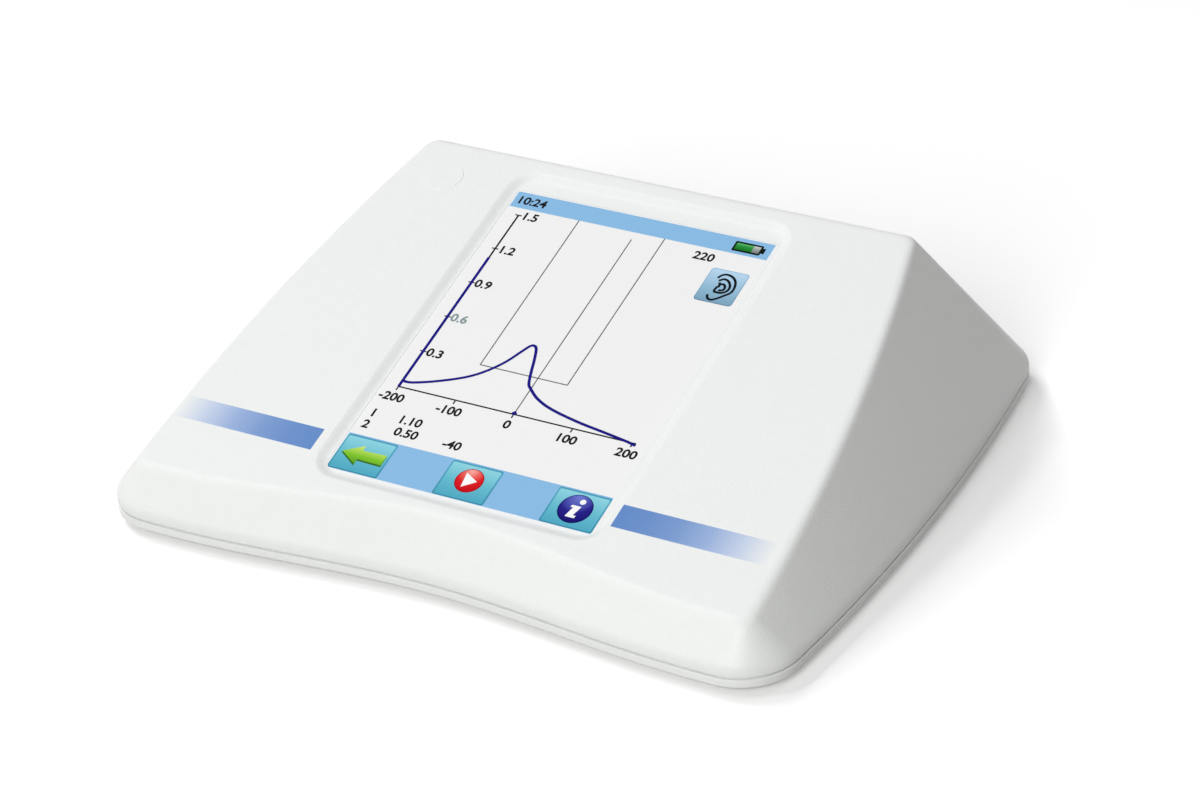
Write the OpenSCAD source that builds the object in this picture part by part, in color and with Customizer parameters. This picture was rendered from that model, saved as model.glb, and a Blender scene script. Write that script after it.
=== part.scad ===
// Desk tympanometer: a low wedge console with a sloped touch screen, an air pump inside
// and its sockets in a bay at the back. Millimetres, +Z up, origin on the desk under the
// middle of the case, -Y towards the user.

/* [Case] */
// Greatest width of the case, across the bulged sides
case_w = 222; // [214:1:236]
// Depth of the case, front lip to back edge
case_d = 190; // [186:1:202]
// Wall of the cover and the tray
wall = 2.5; // [2:0.1:3]
// Height of the tray's strip below the parting line
strip_h = 4; // [3.5:0.25:5]
// Height of the upright skirt of the cover
skirt_h = 2.6; // [2.2:0.1:4]
// Pull-in of each side from its widest place to the back
side_bend = 12; // [8:0.5:15]
// Depth of the wave in the front edge
front_wave = 6; // [3:0.5:8]
// Radius of the front corners at the skirt
front_corner_r = 16; // [13:1:22]
// Radius of the back corners at the skirt
back_corner_r = 12; // [9:1:16]
// Height of the rubber feet below the tray
foot_h = 1.5; // [1:0.25:2.5]
// Radius of the rubber feet
foot_r = 6; // [4:0.5:7]

/* [Deck] */
// Slope of the screen deck
deck_slope = 18; // [17:0.5:20]
// Height of the screen's centre above the desk
deck_h = 41.6; // [41:0.2:46]
// Distance of the screen's centre behind the front edge
deck_set_back = 78; // [77:0.5:82]
// Width of the deck at its front crease
deck_w = 199; // [192:1:204]
// Length of the deck from crease to ridge, along the slope
deck_l = 144.4; // [143.6:0.2:147]
// Distance of the deck's middle below the screen's centre
deck_down = 1; // [0.8:0.1:1.4]
// Pull-in of each side of the deck at the ridge
deck_bend = 18; // [14:0.5:23]
// Depth of the wave in the front crease
deck_wave = 8; // [5:0.5:8]
// Radius of the deck's corners
deck_corner_r = 3.5; // [2.5:0.5:8]
// Reach of the rounding along the deck's edge
edge_round = 2.4; // [1.6:0.2:4]
// Reach of the rounding onto the deck along the front crease
crease_round = 1.6; // [1:0.1:1.8]
// Reach of the rounding between the skirt and the sloped sides
skirt_round = 1.4; // [1:0.1:1.6]
// Width of the dished recess round the screen
recess_w = 96; // [95.5:0.5:100]
// Length of the dished recess round the screen
recess_l = 128; // [127.6:0.1:128.6]
// Distance of the recess's centre above the screen's
recess_up = 2; // [1.8:0.05:2.2]
// Depth of the dished recess
recess_depth = 1.5; // [1:0.1:2]
// Width of the recess's soft wall
recess_wall = 3.4; // [2.4:0.2:3.6]
// Thickness of the cover under the recess
recess_floor = 2; // [1.6:0.1:2.4]

/* [Screen] */
// Width of the lit area
screen_w = 86.4; // [84:0.2:86.8]
// Length of the lit area
screen_l = 115.2; // [112:0.2:115.6]
// Thickness of the touch panel in its window
touch_t = 1.95; // [1.5:0.05:2]
// Thickness of the touch panel's flange
touch_flange_t = 1.2; // [0.8:0.1:1.6]
// Thickness of the foam gasket
gasket_t = 0.8; // [0.5:0.1:1.2]
// Thickness of the display module
display_t = 6; // [5:0.25:7]
// Thickness of the circuit boards
board_t = 1.6; // [1.2:0.1:2]

/* [Power] */
// Diameter of a battery cell
cell_d = 14.2; // [13.8:0.1:14.4]
// Length of a battery cell
cell_l = 49.6; // [49:0.1:50.4]
// Angle through which the power rocker tips
rocker_throw = 16; // [10:1:18]

/* [Pump] */
// Bore of the air cylinder
cylinder_bore = 16; // [14:0.5:17]
// Wall of the air cylinder
cylinder_wall = 2; // [1.5:0.25:2.5]
// Stroke of the piston
pump_stroke = 18; // [12:1:18]
// Teeth on the motor's pinion
pinion_teeth = 12; // [10:1:14]
// Teeth on the gear of the lead screw
gear_teeth = 36; // [32:1:38]
// Module of the pump's gears
gear_module = 0.5; // [0.45:0.01:0.5]
// Radius of the lead screw
screw_r = 2; // [1.6:0.1:2.2]

/* [Sockets] */
// Bore of the earphone jack
jack_bore = 6.5; // [6.4:0.05:6.6]
// Bore of the probe socket
probe_bore = 12.4; // [11:0.2:13]
// Diameter of the air nipple
nipple_d = 4; // [3.6:0.1:4.4]

/* [Hidden] */
$fn = 48;

// Clearances: a running fit, a loose fit and the gap round a panel
run_gap = 0.05;
loose_gap = 0.3;
panel_gap = 0.06;

// Heights of the case
tray_z = foot_h;
floor_z = tray_z + wall;
part_z = tray_z + strip_h;
skirt_z = part_z + skirt_h;
front_y = -case_d / 2;
back_y = case_d / 2;
wide_y = front_y + 58;
tray_bevel = 1.2;
part_bevel = 0.3;
groove_h = 0.7;
groove_d = 1.2;
groove_z = part_z - groove_h;

// The deck's own frame: u across, v up the slope, n out of the surface
deck_y = front_y + deck_set_back;
deck_v0 = -deck_l / 2 - deck_down;
deck_v1 = deck_l / 2 - deck_down;
function deck_point(u, v, n) = [u,
  deck_y + v * cos(deck_slope) - n * sin(deck_slope),
  deck_h + v * sin(deck_slope) + n * cos(deck_slope)];
function deck_z(y, n) = deck_h + (y - deck_y) * tan(deck_slope) + n / cos(deck_slope);
module on_deck() {
  translate([0, deck_y, deck_h]) rotate([deck_slope, 0, 0]) children();
}

// Points round a rounded rectangle from (-a, y0) to (a, y1), the same count for every ring
edge_n = 24;
side_n = 14;
back_n = 8;
corner_n = 9;
function arc(cx, cy, r, a0, a1) = [for (i = [0:corner_n - 1])
  let (t = a0 + (a1 - a0) * i / (corner_n - 1)) [cx + r * cos(t), cy + r * sin(t)]];
function between(p, q, n) = [for (i = [1:n]) p + (q - p) * i / (n + 1)];
function rounded(a, y0, y1, r0, r1) = concat(
  arc(-a + r0, y0 + r0, r0, 180, 270),
  between([-a + r0, y0], [a - r0, y0], edge_n),
  arc(a - r0, y0 + r0, r0, 270, 360),
  between([a, y0 + r0], [a, y1 - r1], side_n),
  arc(a - r1, y1 - r1, r1, 0, 90),
  between([a - r1, y1], [-a + r1, y1], back_n),
  arc(-a + r1, y1 - r1, r1, 90, 180),
  between([-a, y1 - r1], [-a, y0 + r0], side_n));
ring_n = 4 * corner_n + edge_n + 2 * side_n + back_n;

// A wave that is deepest in the middle of the front edge and dies out up the sides
function wave(x, y, y0, depth, reach) =
  abs(x) < reach ? depth / 2 * (1 + cos(180 * x / reach)) * max(0, 1 - (y - y0) / reach) : 0;

// Outline of the case at the skirt, and of the deck at its sharp edge, both inset by d
function case_half(y) = case_w / 2 - side_bend * pow((y - wide_y) / (back_y - wide_y), 2);
function case_outline(d) = let (a = case_w / 2 - d, y0 = front_y + d)
  [for (p = rounded(a, y0, back_y - d, front_corner_r - d, back_corner_r - d))
    [p.x * (case_half(p.y) - d) / a, p.y + wave(p.x, p.y, y0, front_wave, case_w * 0.4)]];
function deck_half(v) = deck_w / 2 - deck_bend * pow((v - deck_v0) / deck_l, 2);
function deck_outline(d, front) = let (a = deck_w / 2 - d, v0 = deck_v0 + front)
  [for (p = rounded(a, v0, deck_v1 - d, deck_corner_r + d / 4, deck_corner_r + d / 4))
    [p.x * (deck_half(p.y) - d) / a, p.y + wave(p.x, p.y, v0, deck_wave, deck_w * 0.45)]];
function case_ring(d, z) = [for (p = case_outline(d)) [p.x, p.y, z]];
function deck_ring(d, n, front) = [for (p = deck_outline(d, front)) deck_point(p.x, p.y, n)];
function recess_ring(d, n, r) = [for (p = rounded(recess_w / 2 - d,
  recess_up - recess_l / 2 + d, recess_up + recess_l / 2 - d, r, r)) deck_point(p.x, p.y, n)];
window_w = screen_w + 1.8;
window_l = screen_l + 1.8;
function window_ring(n) = [for (p = rounded(window_w / 2, -window_l / 2, window_l / 2, 1.5, 1.5))
  deck_point(p.x, p.y, n)];

// Rings between rings
function toward(a, b, d) = [for (i = [0:ring_n - 1])
  a[i] + (b[i] - a[i]) * d / norm(b[i] - a[i])];
function mix(a, b, t) = [for (i = [0:ring_n - 1]) a[i] * (1 - t) + b[i] * t];
function bend(a, b, c, t) = [for (i = [0:ring_n - 1])
  a[i] * (1 - t) * (1 - t) + b[i] * 2 * t * (1 - t) + c[i] * t * t];

// A closed skin over a loop of rings
module ring_loop(rings) {
  m = len(rings);
  polyhedron(
    points = [for (r = rings) for (p = r) p],
    faces = [for (j = [0:m - 1]) for (i = [0:ring_n - 1])
      let (k = (i + 1) % ring_n, a = j * ring_n, b = ((j + 1) % m) * ring_n)
        each [[a + i, b + k, a + k], [a + i, b + i, b + k]]]);
}

ridge = deck_point(0, deck_v1, 0);

// Places of the screws that hold the case together, and of the feet
screw_x = [deck_w / 2 - 13.5, deck_w / 2 - 15.5, deck_w / 2 - 24.5];
case_screw_at = [for (i = [-1, 1]) each [[i * screw_x[0], deck_y - 45],
  [i * screw_x[1], deck_y + 11], [i * screw_x[2], ridge.y - 8.5]]];
foot_in = 18;
foot_at = [for (i = [-1, 1]) each [[i * (case_w / 2 - foot_in - 4), front_y + foot_in],
  [i * (case_w / 2 - side_bend - foot_in), back_y - foot_in - 3]]];
boss_r = 3.5;
tower_r = 4.5;
tower_z = 12;
case_shank_r = 1.4;
case_head_r = 2.9;
head_h = 2;
case_seat_z = floor_z + head_h;
pilot_depth = 10;

// The air line's place across the case, and the socket bay cut out of the cover's back wall
manifold_x = 57;
bay_half = manifold_x + 8;
bay_z = 32;
plate_y0 = 72;
plate_y1 = 74.5;

// Depths below the deck of what is stacked under the window
panel_n = -recess_depth - recess_floor;
touch_n = panel_n - touch_flange_t;
gasket_n = touch_n - gasket_t;
board_n = gasket_n - display_t;
board_under_n = board_n - board_t;
flange_w = screen_w + 6.6;
flange_l = screen_l + 6.8;
module_w = screen_w + 12;
module_l = screen_l + 11.8;
board_w = 114;
board_l = 130;
board_hole = [53, 61];
board_screw_r = 1.2;
board_boss_r = 3;
board_screw_bite = 5;

module cover_shell() {
  base = case_ring(0, skirt_z);
  top = deck_ring(0, 0, 0);
  low = toward(base, top, skirt_round);
  high = toward(top, base, edge_round);
  flat = deck_ring(edge_round, 0, crease_round);
  soft = [for (t = [0:0.2:1])
    recess_ring(recess_wall * t, -recess_depth * t * t * (3 - 2 * t), 9 - recess_wall * t)];
  ring_loop(concat(
    [case_ring(part_bevel, part_z), case_ring(0, part_z + part_bevel),
      case_ring(0, skirt_z - skirt_round)],
    [for (t = [0.3, 0.7, 1]) bend(case_ring(0, skirt_z - skirt_round), base, low, t)],
    [mix(low, high, 1 / 3), mix(low, high, 2 / 3)],
    [for (t = [0:1 / 6:1.01]) bend(high, top, flat, t)],
    soft,
    [window_ring(-recess_depth), window_ring(panel_n),
      recess_ring(1, panel_n, 5), recess_ring(0.3, -wall, 5),
      deck_ring(wall - 0.4, -wall, wall - 0.4), case_ring(wall, skirt_z), case_ring(wall, part_z)]));
}

module top_cover() {
  color([0.93, 0.94, 0.935]) difference() {
    union() {
      cover_shell();
      for (p = case_screw_at)
        translate([p.x, p.y, tower_z])
          cylinder(r = boss_r, h = deck_z(p.y, -wall) + 1.2 - tower_z);
      for (i = [-1, 1], j = [-1, 1])
        on_deck() translate([i * board_hole.x, j * board_hole.y, board_n])
          cylinder(r = board_boss_r, h = -wall + 0.5 - board_n);
    }
    translate([-bay_half, plate_y0 - 8, part_z - 1])
      cube([2 * bay_half, back_y, bay_z - part_z + 1]);
    for (p = case_screw_at)
      translate([p.x, p.y, tower_z - 1]) cylinder(r = case_shank_r + run_gap, h = pilot_depth + 1);
    for (i = [-1, 1], j = [-1, 1])
      on_deck() translate([i * board_hole.x, j * board_hole.y, board_n - 1])
        cylinder(r = board_screw_r + run_gap, h = 7);
  }
}

// The tray: a ring wall with a shadow groove along the parting line, a floor, a lip that
// the cover slides over, and the posts and towers that stand on it
bay_top = 1.8;
bay_wall = 1.8;
cell_gap = 0.3;
cell_pitch = cell_d + 0.6;
bay_half_x = cell_l + 1.2;
bay_half_y = cell_pitch + 0.3;
bay_y = -6.5;
cell_z = floor_z + cell_gap + cell_d / 2;
bay_roof = cell_z + cell_d / 2 + 0.5;
door_t = 1.2;
door_lap = 2;
door_tab = [6, 8];
door_tab_t = 2;
door_screw_y = bay_y - bay_half_y - door_lap - door_tab.y / 2;
door_head_r = 2.4;
door_shank_r = 1.2;
foot_sink = 0.5;
small_screw_r = 1.2;
small_hole_r = small_screw_r + run_gap;
free_hole_r = small_screw_r + 0.2;
small_head_r = 2.1;
small_head_h = 1.6;
slim_head_r = 1.9;
slim_head_h = 1.4;
pad_r = 4;
pad_h = 2;
bracket_z = floor_z + pad_h;
bracket_t = 2;
bracket_pad_at = [[-46, 22], [-46, 46], [-10, 22], [-10, 46]];
socket_board_z = floor_z + 4;
socket_board_t = 1.6;
socket_post_at = [[-35, 57], [-35, 68], [1, 57], [1, 68]];
socket_post_r = 2.5;
manifold_lug_h = 3;
manifold_lug = 10.5;

module door_outline(gap) {
  translate([-bay_half_x - door_lap + gap, bay_y - bay_half_y - door_lap + gap])
    square([2 * (bay_half_x + door_lap - gap), 2 * (bay_half_y + door_lap - gap)]);
}
module door_tab_outline(gap) {
  translate([-door_tab.x + gap, door_screw_y - door_tab.y / 2 + gap])
    square([2 * (door_tab.x - gap), door_tab.y - gap + door_lap]);
}

module base_tray() {
  color([0.93, 0.94, 0.935]) difference() {
    union() {
      ring_loop([case_ring(tray_bevel, tray_z), case_ring(0, tray_z + tray_bevel),
        case_ring(0, groove_z - part_bevel), case_ring(part_bevel, groove_z),
        case_ring(groove_d, groove_z), case_ring(groove_d, part_z),
        case_ring(wall, part_z), case_ring(wall, tray_z)]);
      translate([0, 0, tray_z]) linear_extrude(wall) polygon(case_outline(wall - 0.5));
      translate([0, 0, floor_z - 0.5]) linear_extrude(part_z + 2 - floor_z + 0.5)
        difference() {
          polygon(case_outline(wall + 0.2));
          polygon(case_outline(wall + 1.6));
          translate([-bay_half - 2, plate_y0 - 4]) square([2 * bay_half + 4, case_d]);
        }
      for (p = case_screw_at)
        translate([p.x, p.y, floor_z - 0.5]) cylinder(r = tower_r, h = tower_z - floor_z + 0.5);
      translate([-bay_half_x - bay_wall, bay_y - bay_half_y - bay_wall, floor_z - 0.5])
        cube([2 * (bay_half_x + bay_wall), 2 * (bay_half_y + bay_wall), bay_roof + bay_top - floor_z + 0.5]);
      translate([-door_tab.x - 1, door_screw_y - door_tab.y / 2 - 1, floor_z - 0.5])
        cube([2 * door_tab.x + 2, door_tab.y + 1 + door_lap, 5.5]);
      for (p = bracket_pad_at)
        translate([p.x, p.y, floor_z - 0.5]) cylinder(r = pad_r, h = pad_h + 0.5);
      for (p = socket_post_at)
        translate([p.x, p.y, floor_z - 0.5])
          cylinder(r = socket_post_r, h = socket_board_z - floor_z + 0.5);
    }
    for (p = case_screw_at) translate([p.x, p.y, tray_z - 1]) {
      cylinder(r = case_head_r + loose_gap, h = case_seat_z - tray_z + 1);
      cylinder(r = case_shank_r + loose_gap, h = tower_z);
    }
    for (p = foot_at) translate([p.x, p.y, tray_z - 1]) cylinder(r = foot_r + 0.1, h = 1 + foot_sink);
    translate([-bay_half_x, bay_y - bay_half_y, tray_z - 1])
      cube([2 * bay_half_x, 2 * bay_half_y, bay_roof - tray_z + 1]);
    translate([0, 0, tray_z - 1]) linear_extrude(door_t + 1.1) door_outline(0);
    translate([0, 0, tray_z - 1]) linear_extrude(door_tab_t + 1.1) door_tab_outline(0);
    translate([0, door_screw_y, tray_z]) cylinder(r = door_shank_r + run_gap, h = 6.5);
    for (p = bracket_pad_at)
      translate([p.x, p.y, tray_z + 0.8]) cylinder(r = small_hole_r, h = bracket_z);
    for (p = socket_post_at)
      translate([p.x, p.y, tray_z + 0.8]) cylinder(r = small_hole_r, h = socket_board_z);
    for (i = [-1, 1])
      translate([manifold_x, manifold_y + i * manifold_lug, tray_z + 0.8])
        cylinder(r = small_hole_r, h = floor_z);
  }
}

module battery_door() {
  color([0.93, 0.94, 0.935]) difference() {
    union() {
      translate([0, 0, tray_z]) linear_extrude(door_t) door_outline(0.3);
      translate([0, 0, tray_z]) linear_extrude(door_tab_t) door_tab_outline(0.3);
      translate([-bay_half_x + 0.4, bay_y - bay_half_y + 0.4, tray_z + door_t - 0.1])
        cube([2 * bay_half_x - 0.8, 2 * bay_half_y - 0.8, wall - door_t - 0.2]);
    }
    translate([0, door_screw_y, tray_z - 1]) cylinder(r = door_head_r + 0.15, h = 1 + door_tab_t - 0.8);
    translate([0, door_screw_y, tray_z - 1]) cylinder(r = door_shank_r + 0.2, h = 4);
  }
}

// A pan-head screw standing on its seat at z = 0, the shank pointing down
module screw(shank_r, length, head_r, h) {
  color([0.72, 0.73, 0.74]) difference() {
    union() {
      cylinder(r = head_r, h = h);
      translate([0, 0, -length]) cylinder(r = shank_r, h = length + 0.2);
    }
    translate([0, 0, h - 0.8]) for (a = [0, 90])
      rotate(a) translate([-head_r * 0.6, -0.3, 0]) cube([head_r * 1.2, 0.6, 1]);
  }
}

module door_screw() {
  translate([0, door_screw_y, tray_z + door_tab_t - 0.8]) mirror([0, 0, 1])
    screw(door_shank_r, 5.2, door_head_r, 1.2);
}

module case_screws() {
  for (p = case_screw_at) translate([p.x, p.y, case_seat_z]) mirror([0, 0, 1])
    screw(case_shank_r, 14, case_head_r, head_h);
}

module rubber_feet() {
  color([0.3, 0.3, 0.31]) for (p = foot_at) translate([p.x, p.y, 0]) union() {
    cylinder(r1 = foot_r - 0.6, r2 = foot_r, h = 0.7);
    translate([0, 0, 0.7]) cylinder(r = foot_r, h = foot_h + foot_sink - 0.7);
  }
}

cell_cap_r = 2.6;
cell_cap_h = 1.2;
module battery_cells() {
  for (i = [-1, 1], j = [0, 1])
    translate([j * (cell_l + 0.1) - cell_l - 0.05, bay_y + i * cell_pitch / 2, cell_z])
      rotate([0, 90, 0]) {
        color([0.25, 0.45, 0.35]) cylinder(d = cell_d, h = cell_l - cell_cap_h);
        color([0.8, 0.8, 0.8]) translate([0, 0, cell_l - cell_cap_h - 0.1])
          cylinder(r = cell_cap_r, h = cell_cap_h + 0.1);
      }
}

contact_size = [11, 12, 0.5];
module battery_contacts() {
  color([0.8, 0.8, 0.78]) for (i = [-1, 1], j = [-1, 1])
    translate([i * bay_half_x, bay_y + j * cell_pitch / 2, cell_z]) rotate([0, -i * 90, 0]) union() {
      translate([-contact_size.x / 2, -contact_size.y / 2, 0]) cube(contact_size);
      translate([0, 0, contact_size.z - 0.1])
        cylinder(r1 = 4, r2 = 2.5, h = bay_half_x - cell_l - contact_size.z - 0.05);
    }
}

module touch_panel() {
  color([0.9, 0.92, 0.93]) on_deck() union() {
    translate([0, 0, panel_n - 0.2]) linear_extrude(touch_t + 0.2)
      polygon(rounded(window_w / 2 - panel_gap, -window_l / 2 + panel_gap,
        window_l / 2 - panel_gap, 1.4, 1.4));
    translate([-flange_w / 2, -flange_l / 2, touch_n]) cube([flange_w, flange_l, touch_flange_t]);
  }
}

gasket_margin = 2;
module screen_gasket() {
  color([0.2, 0.2, 0.2]) on_deck() translate([0, 0, gasket_n]) linear_extrude(gasket_t)
    difference() {
      square([flange_w, flange_l], center = true);
      square([screen_w + gasket_margin, screen_l + gasket_margin], center = true);
    }
}

// The display module: a pan that holds the backlight and the glass
frame_wall = 1.2;
pan_floor = 1;
display_gap = 0.2;
glass_t = 1.8;
display_slab_w = module_w - 2 * (frame_wall + display_gap);
display_slab_l = module_l - 2 * (frame_wall + display_gap);
module display_frame() {
  color([0.6, 0.61, 0.62]) on_deck() translate([0, 0, board_n]) difference() {
    translate([-module_w / 2, -module_l / 2, 0]) cube([module_w, module_l, display_t]);
    translate([-module_w / 2 + frame_wall, -module_l / 2 + frame_wall, pan_floor])
      cube([module_w - 2 * frame_wall, module_l - 2 * frame_wall, display_t]);
  }
}
module display_slab(n, t) {
  translate([-display_slab_w / 2, -display_slab_l / 2, n]) cube([display_slab_w, display_slab_l, t]);
}
module display_glass() {
  color([0.75, 0.8, 0.82]) on_deck() display_slab(gasket_n - glass_t, glass_t);
}
module backlight() {
  color([0.95, 0.95, 0.93]) on_deck() display_slab(board_n + pan_floor, display_t - pan_floor - glass_t);
}

module main_board() {
  color([0.12, 0.4, 0.25]) on_deck() translate([0, 0, board_under_n]) linear_extrude(board_t)
    difference() {
      square([board_w, board_l], center = true);
      for (i = [-1, 1], j = [-1, 1])
        translate([i * board_hole.x, j * board_hole.y]) circle(r = board_screw_r + loose_gap);
    }
}
module board_screws() {
  on_deck() for (i = [-1, 1], j = [-1, 1])
    translate([i * board_hole.x, j * board_hole.y, board_under_n]) mirror([0, 0, 1])
      screw(board_screw_r, board_t + board_screw_bite, small_head_r, small_head_h);
}

// Chips under the board: across, up the slope, side and height of each
chips = [[-12, -38, 24, 2], [22, -40, 16, 1.6], [-38, 10, 14, 1.6],
  [-10, 8, 20, 1.8], [24, 30, 18, 1.8], [-34, 42, 12, 1.4]];
module processor_chips() {
  color([0.15, 0.15, 0.16]) on_deck() for (c = chips)
    translate([c[0] - c[2] / 2, c[1] - c[2] / 2, board_under_n - c[3]])
      cube([c[2], c[2], c[3]]);
}

// Headers under the board: across, up the slope, width, length and height of each
ribbon_w = 28;
ribbon_plug_t = 1.2;
headers = [[-ribbon_w / 2 - 2, 2 - board_l / 2, ribbon_w + 4, 4, ribbon_plug_t],
  [-8, 56, 22, 5, 6], [-48, 24, 5, 16, 6], [40, 44, 5, 14, 5]];
module board_headers() {
  color([0.9, 0.88, 0.8]) on_deck() for (c = headers)
    translate([c[0], c[1], board_under_n - c[4]]) cube([c[2], c[3], c[4]]);
}
ribbon_t = 0.3;
module display_ribbon() {
  v0 = -module_l / 2;
  v1 = -board_l / 2 - 0.8;
  n0 = board_n + 3;
  n1 = board_under_n - ribbon_plug_t;
  color([0.75, 0.5, 0.2]) on_deck() rotate([90, 0, 90]) translate([0, 0, -ribbon_w / 2])
    linear_extrude(ribbon_w) polygon([[v0, n0], [v1 - ribbon_t, n0], [v1 - ribbon_t, n1 - ribbon_t],
      [v1 + 5, n1 - ribbon_t], [v1 + 5, n1], [v1, n1], [v1, n0 - ribbon_t], [v0, n0 - ribbon_t]]);
}
buzzer_at = [-38, -34];
buzzer_r = 7;
buzzer_h = 5;
module buzzer() {
  color([0.12, 0.12, 0.12]) on_deck() translate([buzzer_at.x, buzzer_at.y, board_under_n - buzzer_h])
    difference() {
      cylinder(r = buzzer_r, h = buzzer_h);
      translate([0, 0, -1]) cylinder(r = 1.5, h = 3);
    }
}

// The socket bay: a plate with the sockets, and cheeks that close its sides
back_lean = (back_y - ridge.y) / (ridge.z - skirt_z);
switch_at = [-50, 19];
inlet_x = -28;
usb_x = -8;
jack_at = [manifold_x - 42, 17.6];
probe_at = [manifold_x - 19, 18];
nipple_at = [manifold_x, 18];
switch_size = [12.8, 19];
usb_size = [12, 11];
inlet_r = 4;
inlet_z = socket_board_z + socket_board_t + 5.5;
usb_z = socket_board_z + socket_board_t + usb_size.y / 2;
jack_nose_r = 4.6;
probe_r = 8;
plate_half = bay_half - 0.2;
plate_top = bay_z - 0.2;

module rear_panel() {
  color([0.9, 0.91, 0.905]) difference() {
    union() {
      translate([-plate_half, plate_y0, floor_z])
        cube([2 * plate_half, plate_y1 - plate_y0, plate_top - floor_z]);
      for (i = [0, 1]) mirror([i, 0, 0])
        translate([plate_half - 2, 0, 0]) rotate([90, 0, 90]) linear_extrude(2)
          polygon([[plate_y1 - 0.5, floor_z], [back_y - wall - 0.5, floor_z],
            [back_y - wall - 0.5, skirt_z],
            [plate_y1 - 0.5, skirt_z + (back_y - wall - plate_y1) / back_lean]]);
    }
    translate([switch_at.x - switch_size.x / 2 - 0.15, plate_y0 - 1, switch_at.y - switch_size.y / 2 - 0.15])
      cube([switch_size.x + 0.3, 5, switch_size.y + 0.3]);
    translate([usb_x - usb_size.x / 2 - 0.2, plate_y0 - 1, usb_z - usb_size.y / 2 - 0.2])
      cube([usb_size.x + 0.4, 5, usb_size.y + 0.4]);
    translate([inlet_x, plate_y0 - 1, inlet_z]) rotate([-90, 0, 0]) cylinder(r = inlet_r + 0.2, h = 5);
    translate([jack_at.x, plate_y0 - 1, jack_at.y]) rotate([-90, 0, 0])
      cylinder(r = jack_nose_r + 0.15, h = 5);
    translate([probe_at.x, plate_y0 - 1, probe_at.y]) rotate([-90, 0, 0])
      cylinder(r = probe_r + 0.1, h = 5);
    translate([nipple_at.x, plate_y0 - 1, nipple_at.y]) rotate([-90, 0, 0])
      cylinder(r = nipple_d / 2 + 0.1, h = 5);
  }
}

rocker_tilt = rocker_throw / 2;
rocker_half = 4.9;
rocker_pin_r = 0.8;
rocker_y = plate_y1 - 0.5;
switch_depth = 15;
bezel_size = [15, 1.5, 21];
rocker_well = [2 * rocker_half + 0.7, 10, 16.6];
module switch_body() {
  color([0.13, 0.13, 0.14]) difference() {
    union() {
      translate([switch_at.x - switch_size.x / 2, plate_y0 - switch_depth, switch_at.y - switch_size.y / 2])
        cube([switch_size.x, plate_y1 - plate_y0 + switch_depth + 0.2, switch_size.y]);
      translate([switch_at.x - bezel_size.x / 2, plate_y1, switch_at.y - bezel_size.z / 2])
        cube(bezel_size);
    }
    translate([switch_at.x - rocker_well.x / 2, rocker_y - 4, switch_at.y - rocker_well.z / 2])
      cube(rocker_well);
    translate([switch_at.x, rocker_y, switch_at.y]) rotate([0, 90, 0])
      cylinder(r = rocker_pin_r + run_gap, h = 2 * rocker_half + 2, center = true);
  }
}
module power_rocker() {
  color([0.1, 0.1, 0.1]) translate([switch_at.x, rocker_y, switch_at.y])
    rotate([-rocker_tilt, 0, 0]) union() {
      rotate([90, 0, 90]) translate([0, 0, -rocker_half]) linear_extrude(2 * rocker_half)
        polygon([[-2.2, -3.5], [0, -7.2], [2.8, -7.4], [1.9, 0], [2.8, 7.4], [0, 7.2], [-2.2, 3.5]]);
      rotate([0, 90, 0]) cylinder(r = rocker_pin_r, h = 2 * rocker_half + 1.8, center = true);
    }
}

board_margin = 3;
module connector_board() {
  first = socket_post_at[0] - [board_margin, board_margin];
  color([0.12, 0.4, 0.25]) difference() {
    translate([first.x, first.y, socket_board_z])
      cube([socket_post_at[3].x + board_margin - first.x, plate_y0 - 1 - first.y, socket_board_t]);
    for (p = socket_post_at)
      translate([p.x, p.y, socket_board_z - 1]) cylinder(r = free_hole_r, h = 4);
  }
}
module connector_screws() {
  for (p = socket_post_at) translate([p.x, p.y, socket_board_z + socket_board_t])
    screw(small_screw_r, socket_board_t + 4.5, slim_head_r, slim_head_h);
}
module power_inlet() {
  color([0.12, 0.12, 0.13]) difference() {
    union() {
      translate([inlet_x - 4.5, plate_y0 - 13, socket_board_z + socket_board_t]) cube([9, 12.8, 11]);
      translate([inlet_x, plate_y0 - 1, inlet_z]) rotate([-90, 0, 0])
        cylinder(r = inlet_r, h = plate_y1 - plate_y0 + 1.2);
    }
    translate([inlet_x, plate_y0 - 9, inlet_z]) rotate([-90, 0, 0]) difference() {
      cylinder(r = 2.9, h = 20);
      translate([0, 0, -1]) cylinder(r = 1, h = 10.5);
    }
  }
}
module usb_port() {
  color([0.7, 0.71, 0.72]) translate([usb_x, plate_y0, usb_z]) union() {
    difference() {
      translate([-usb_size.x / 2, -14, -usb_size.y / 2])
        cube([usb_size.x, plate_y1 - plate_y0 + 14.2, usb_size.y]);
      translate([-4.3, -8, -3.95]) cube([8.6, 12, 7.9]);
    }
    translate([-2.8, -8.5, -1.6]) cube([5.6, 8.5, 3.2]);
  }
}
jack_end = plate_y1 + 2.7;
jack_depth = 25;
jack_body = [13, 21.5, 13];
module earphone_jack() {
  color([0.16, 0.16, 0.17]) difference() {
    union() {
      translate([jack_at.x - jack_body.x / 2, plate_y0 - jack_body.y, jack_at.y - jack_body.z / 2])
        cube(jack_body);
      translate([jack_at.x, plate_y0 - 1, jack_at.y]) rotate([-90, 0, 0])
        cylinder(r = jack_nose_r, h = jack_end - plate_y0 + 1);
    }
    translate([jack_at.x, jack_end - jack_depth, jack_at.y]) rotate([-90, 0, 0])
      cylinder(d = jack_bore, h = jack_depth + 1);
  }
}
nut_r = 7;
nut_h = 2.2;
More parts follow.
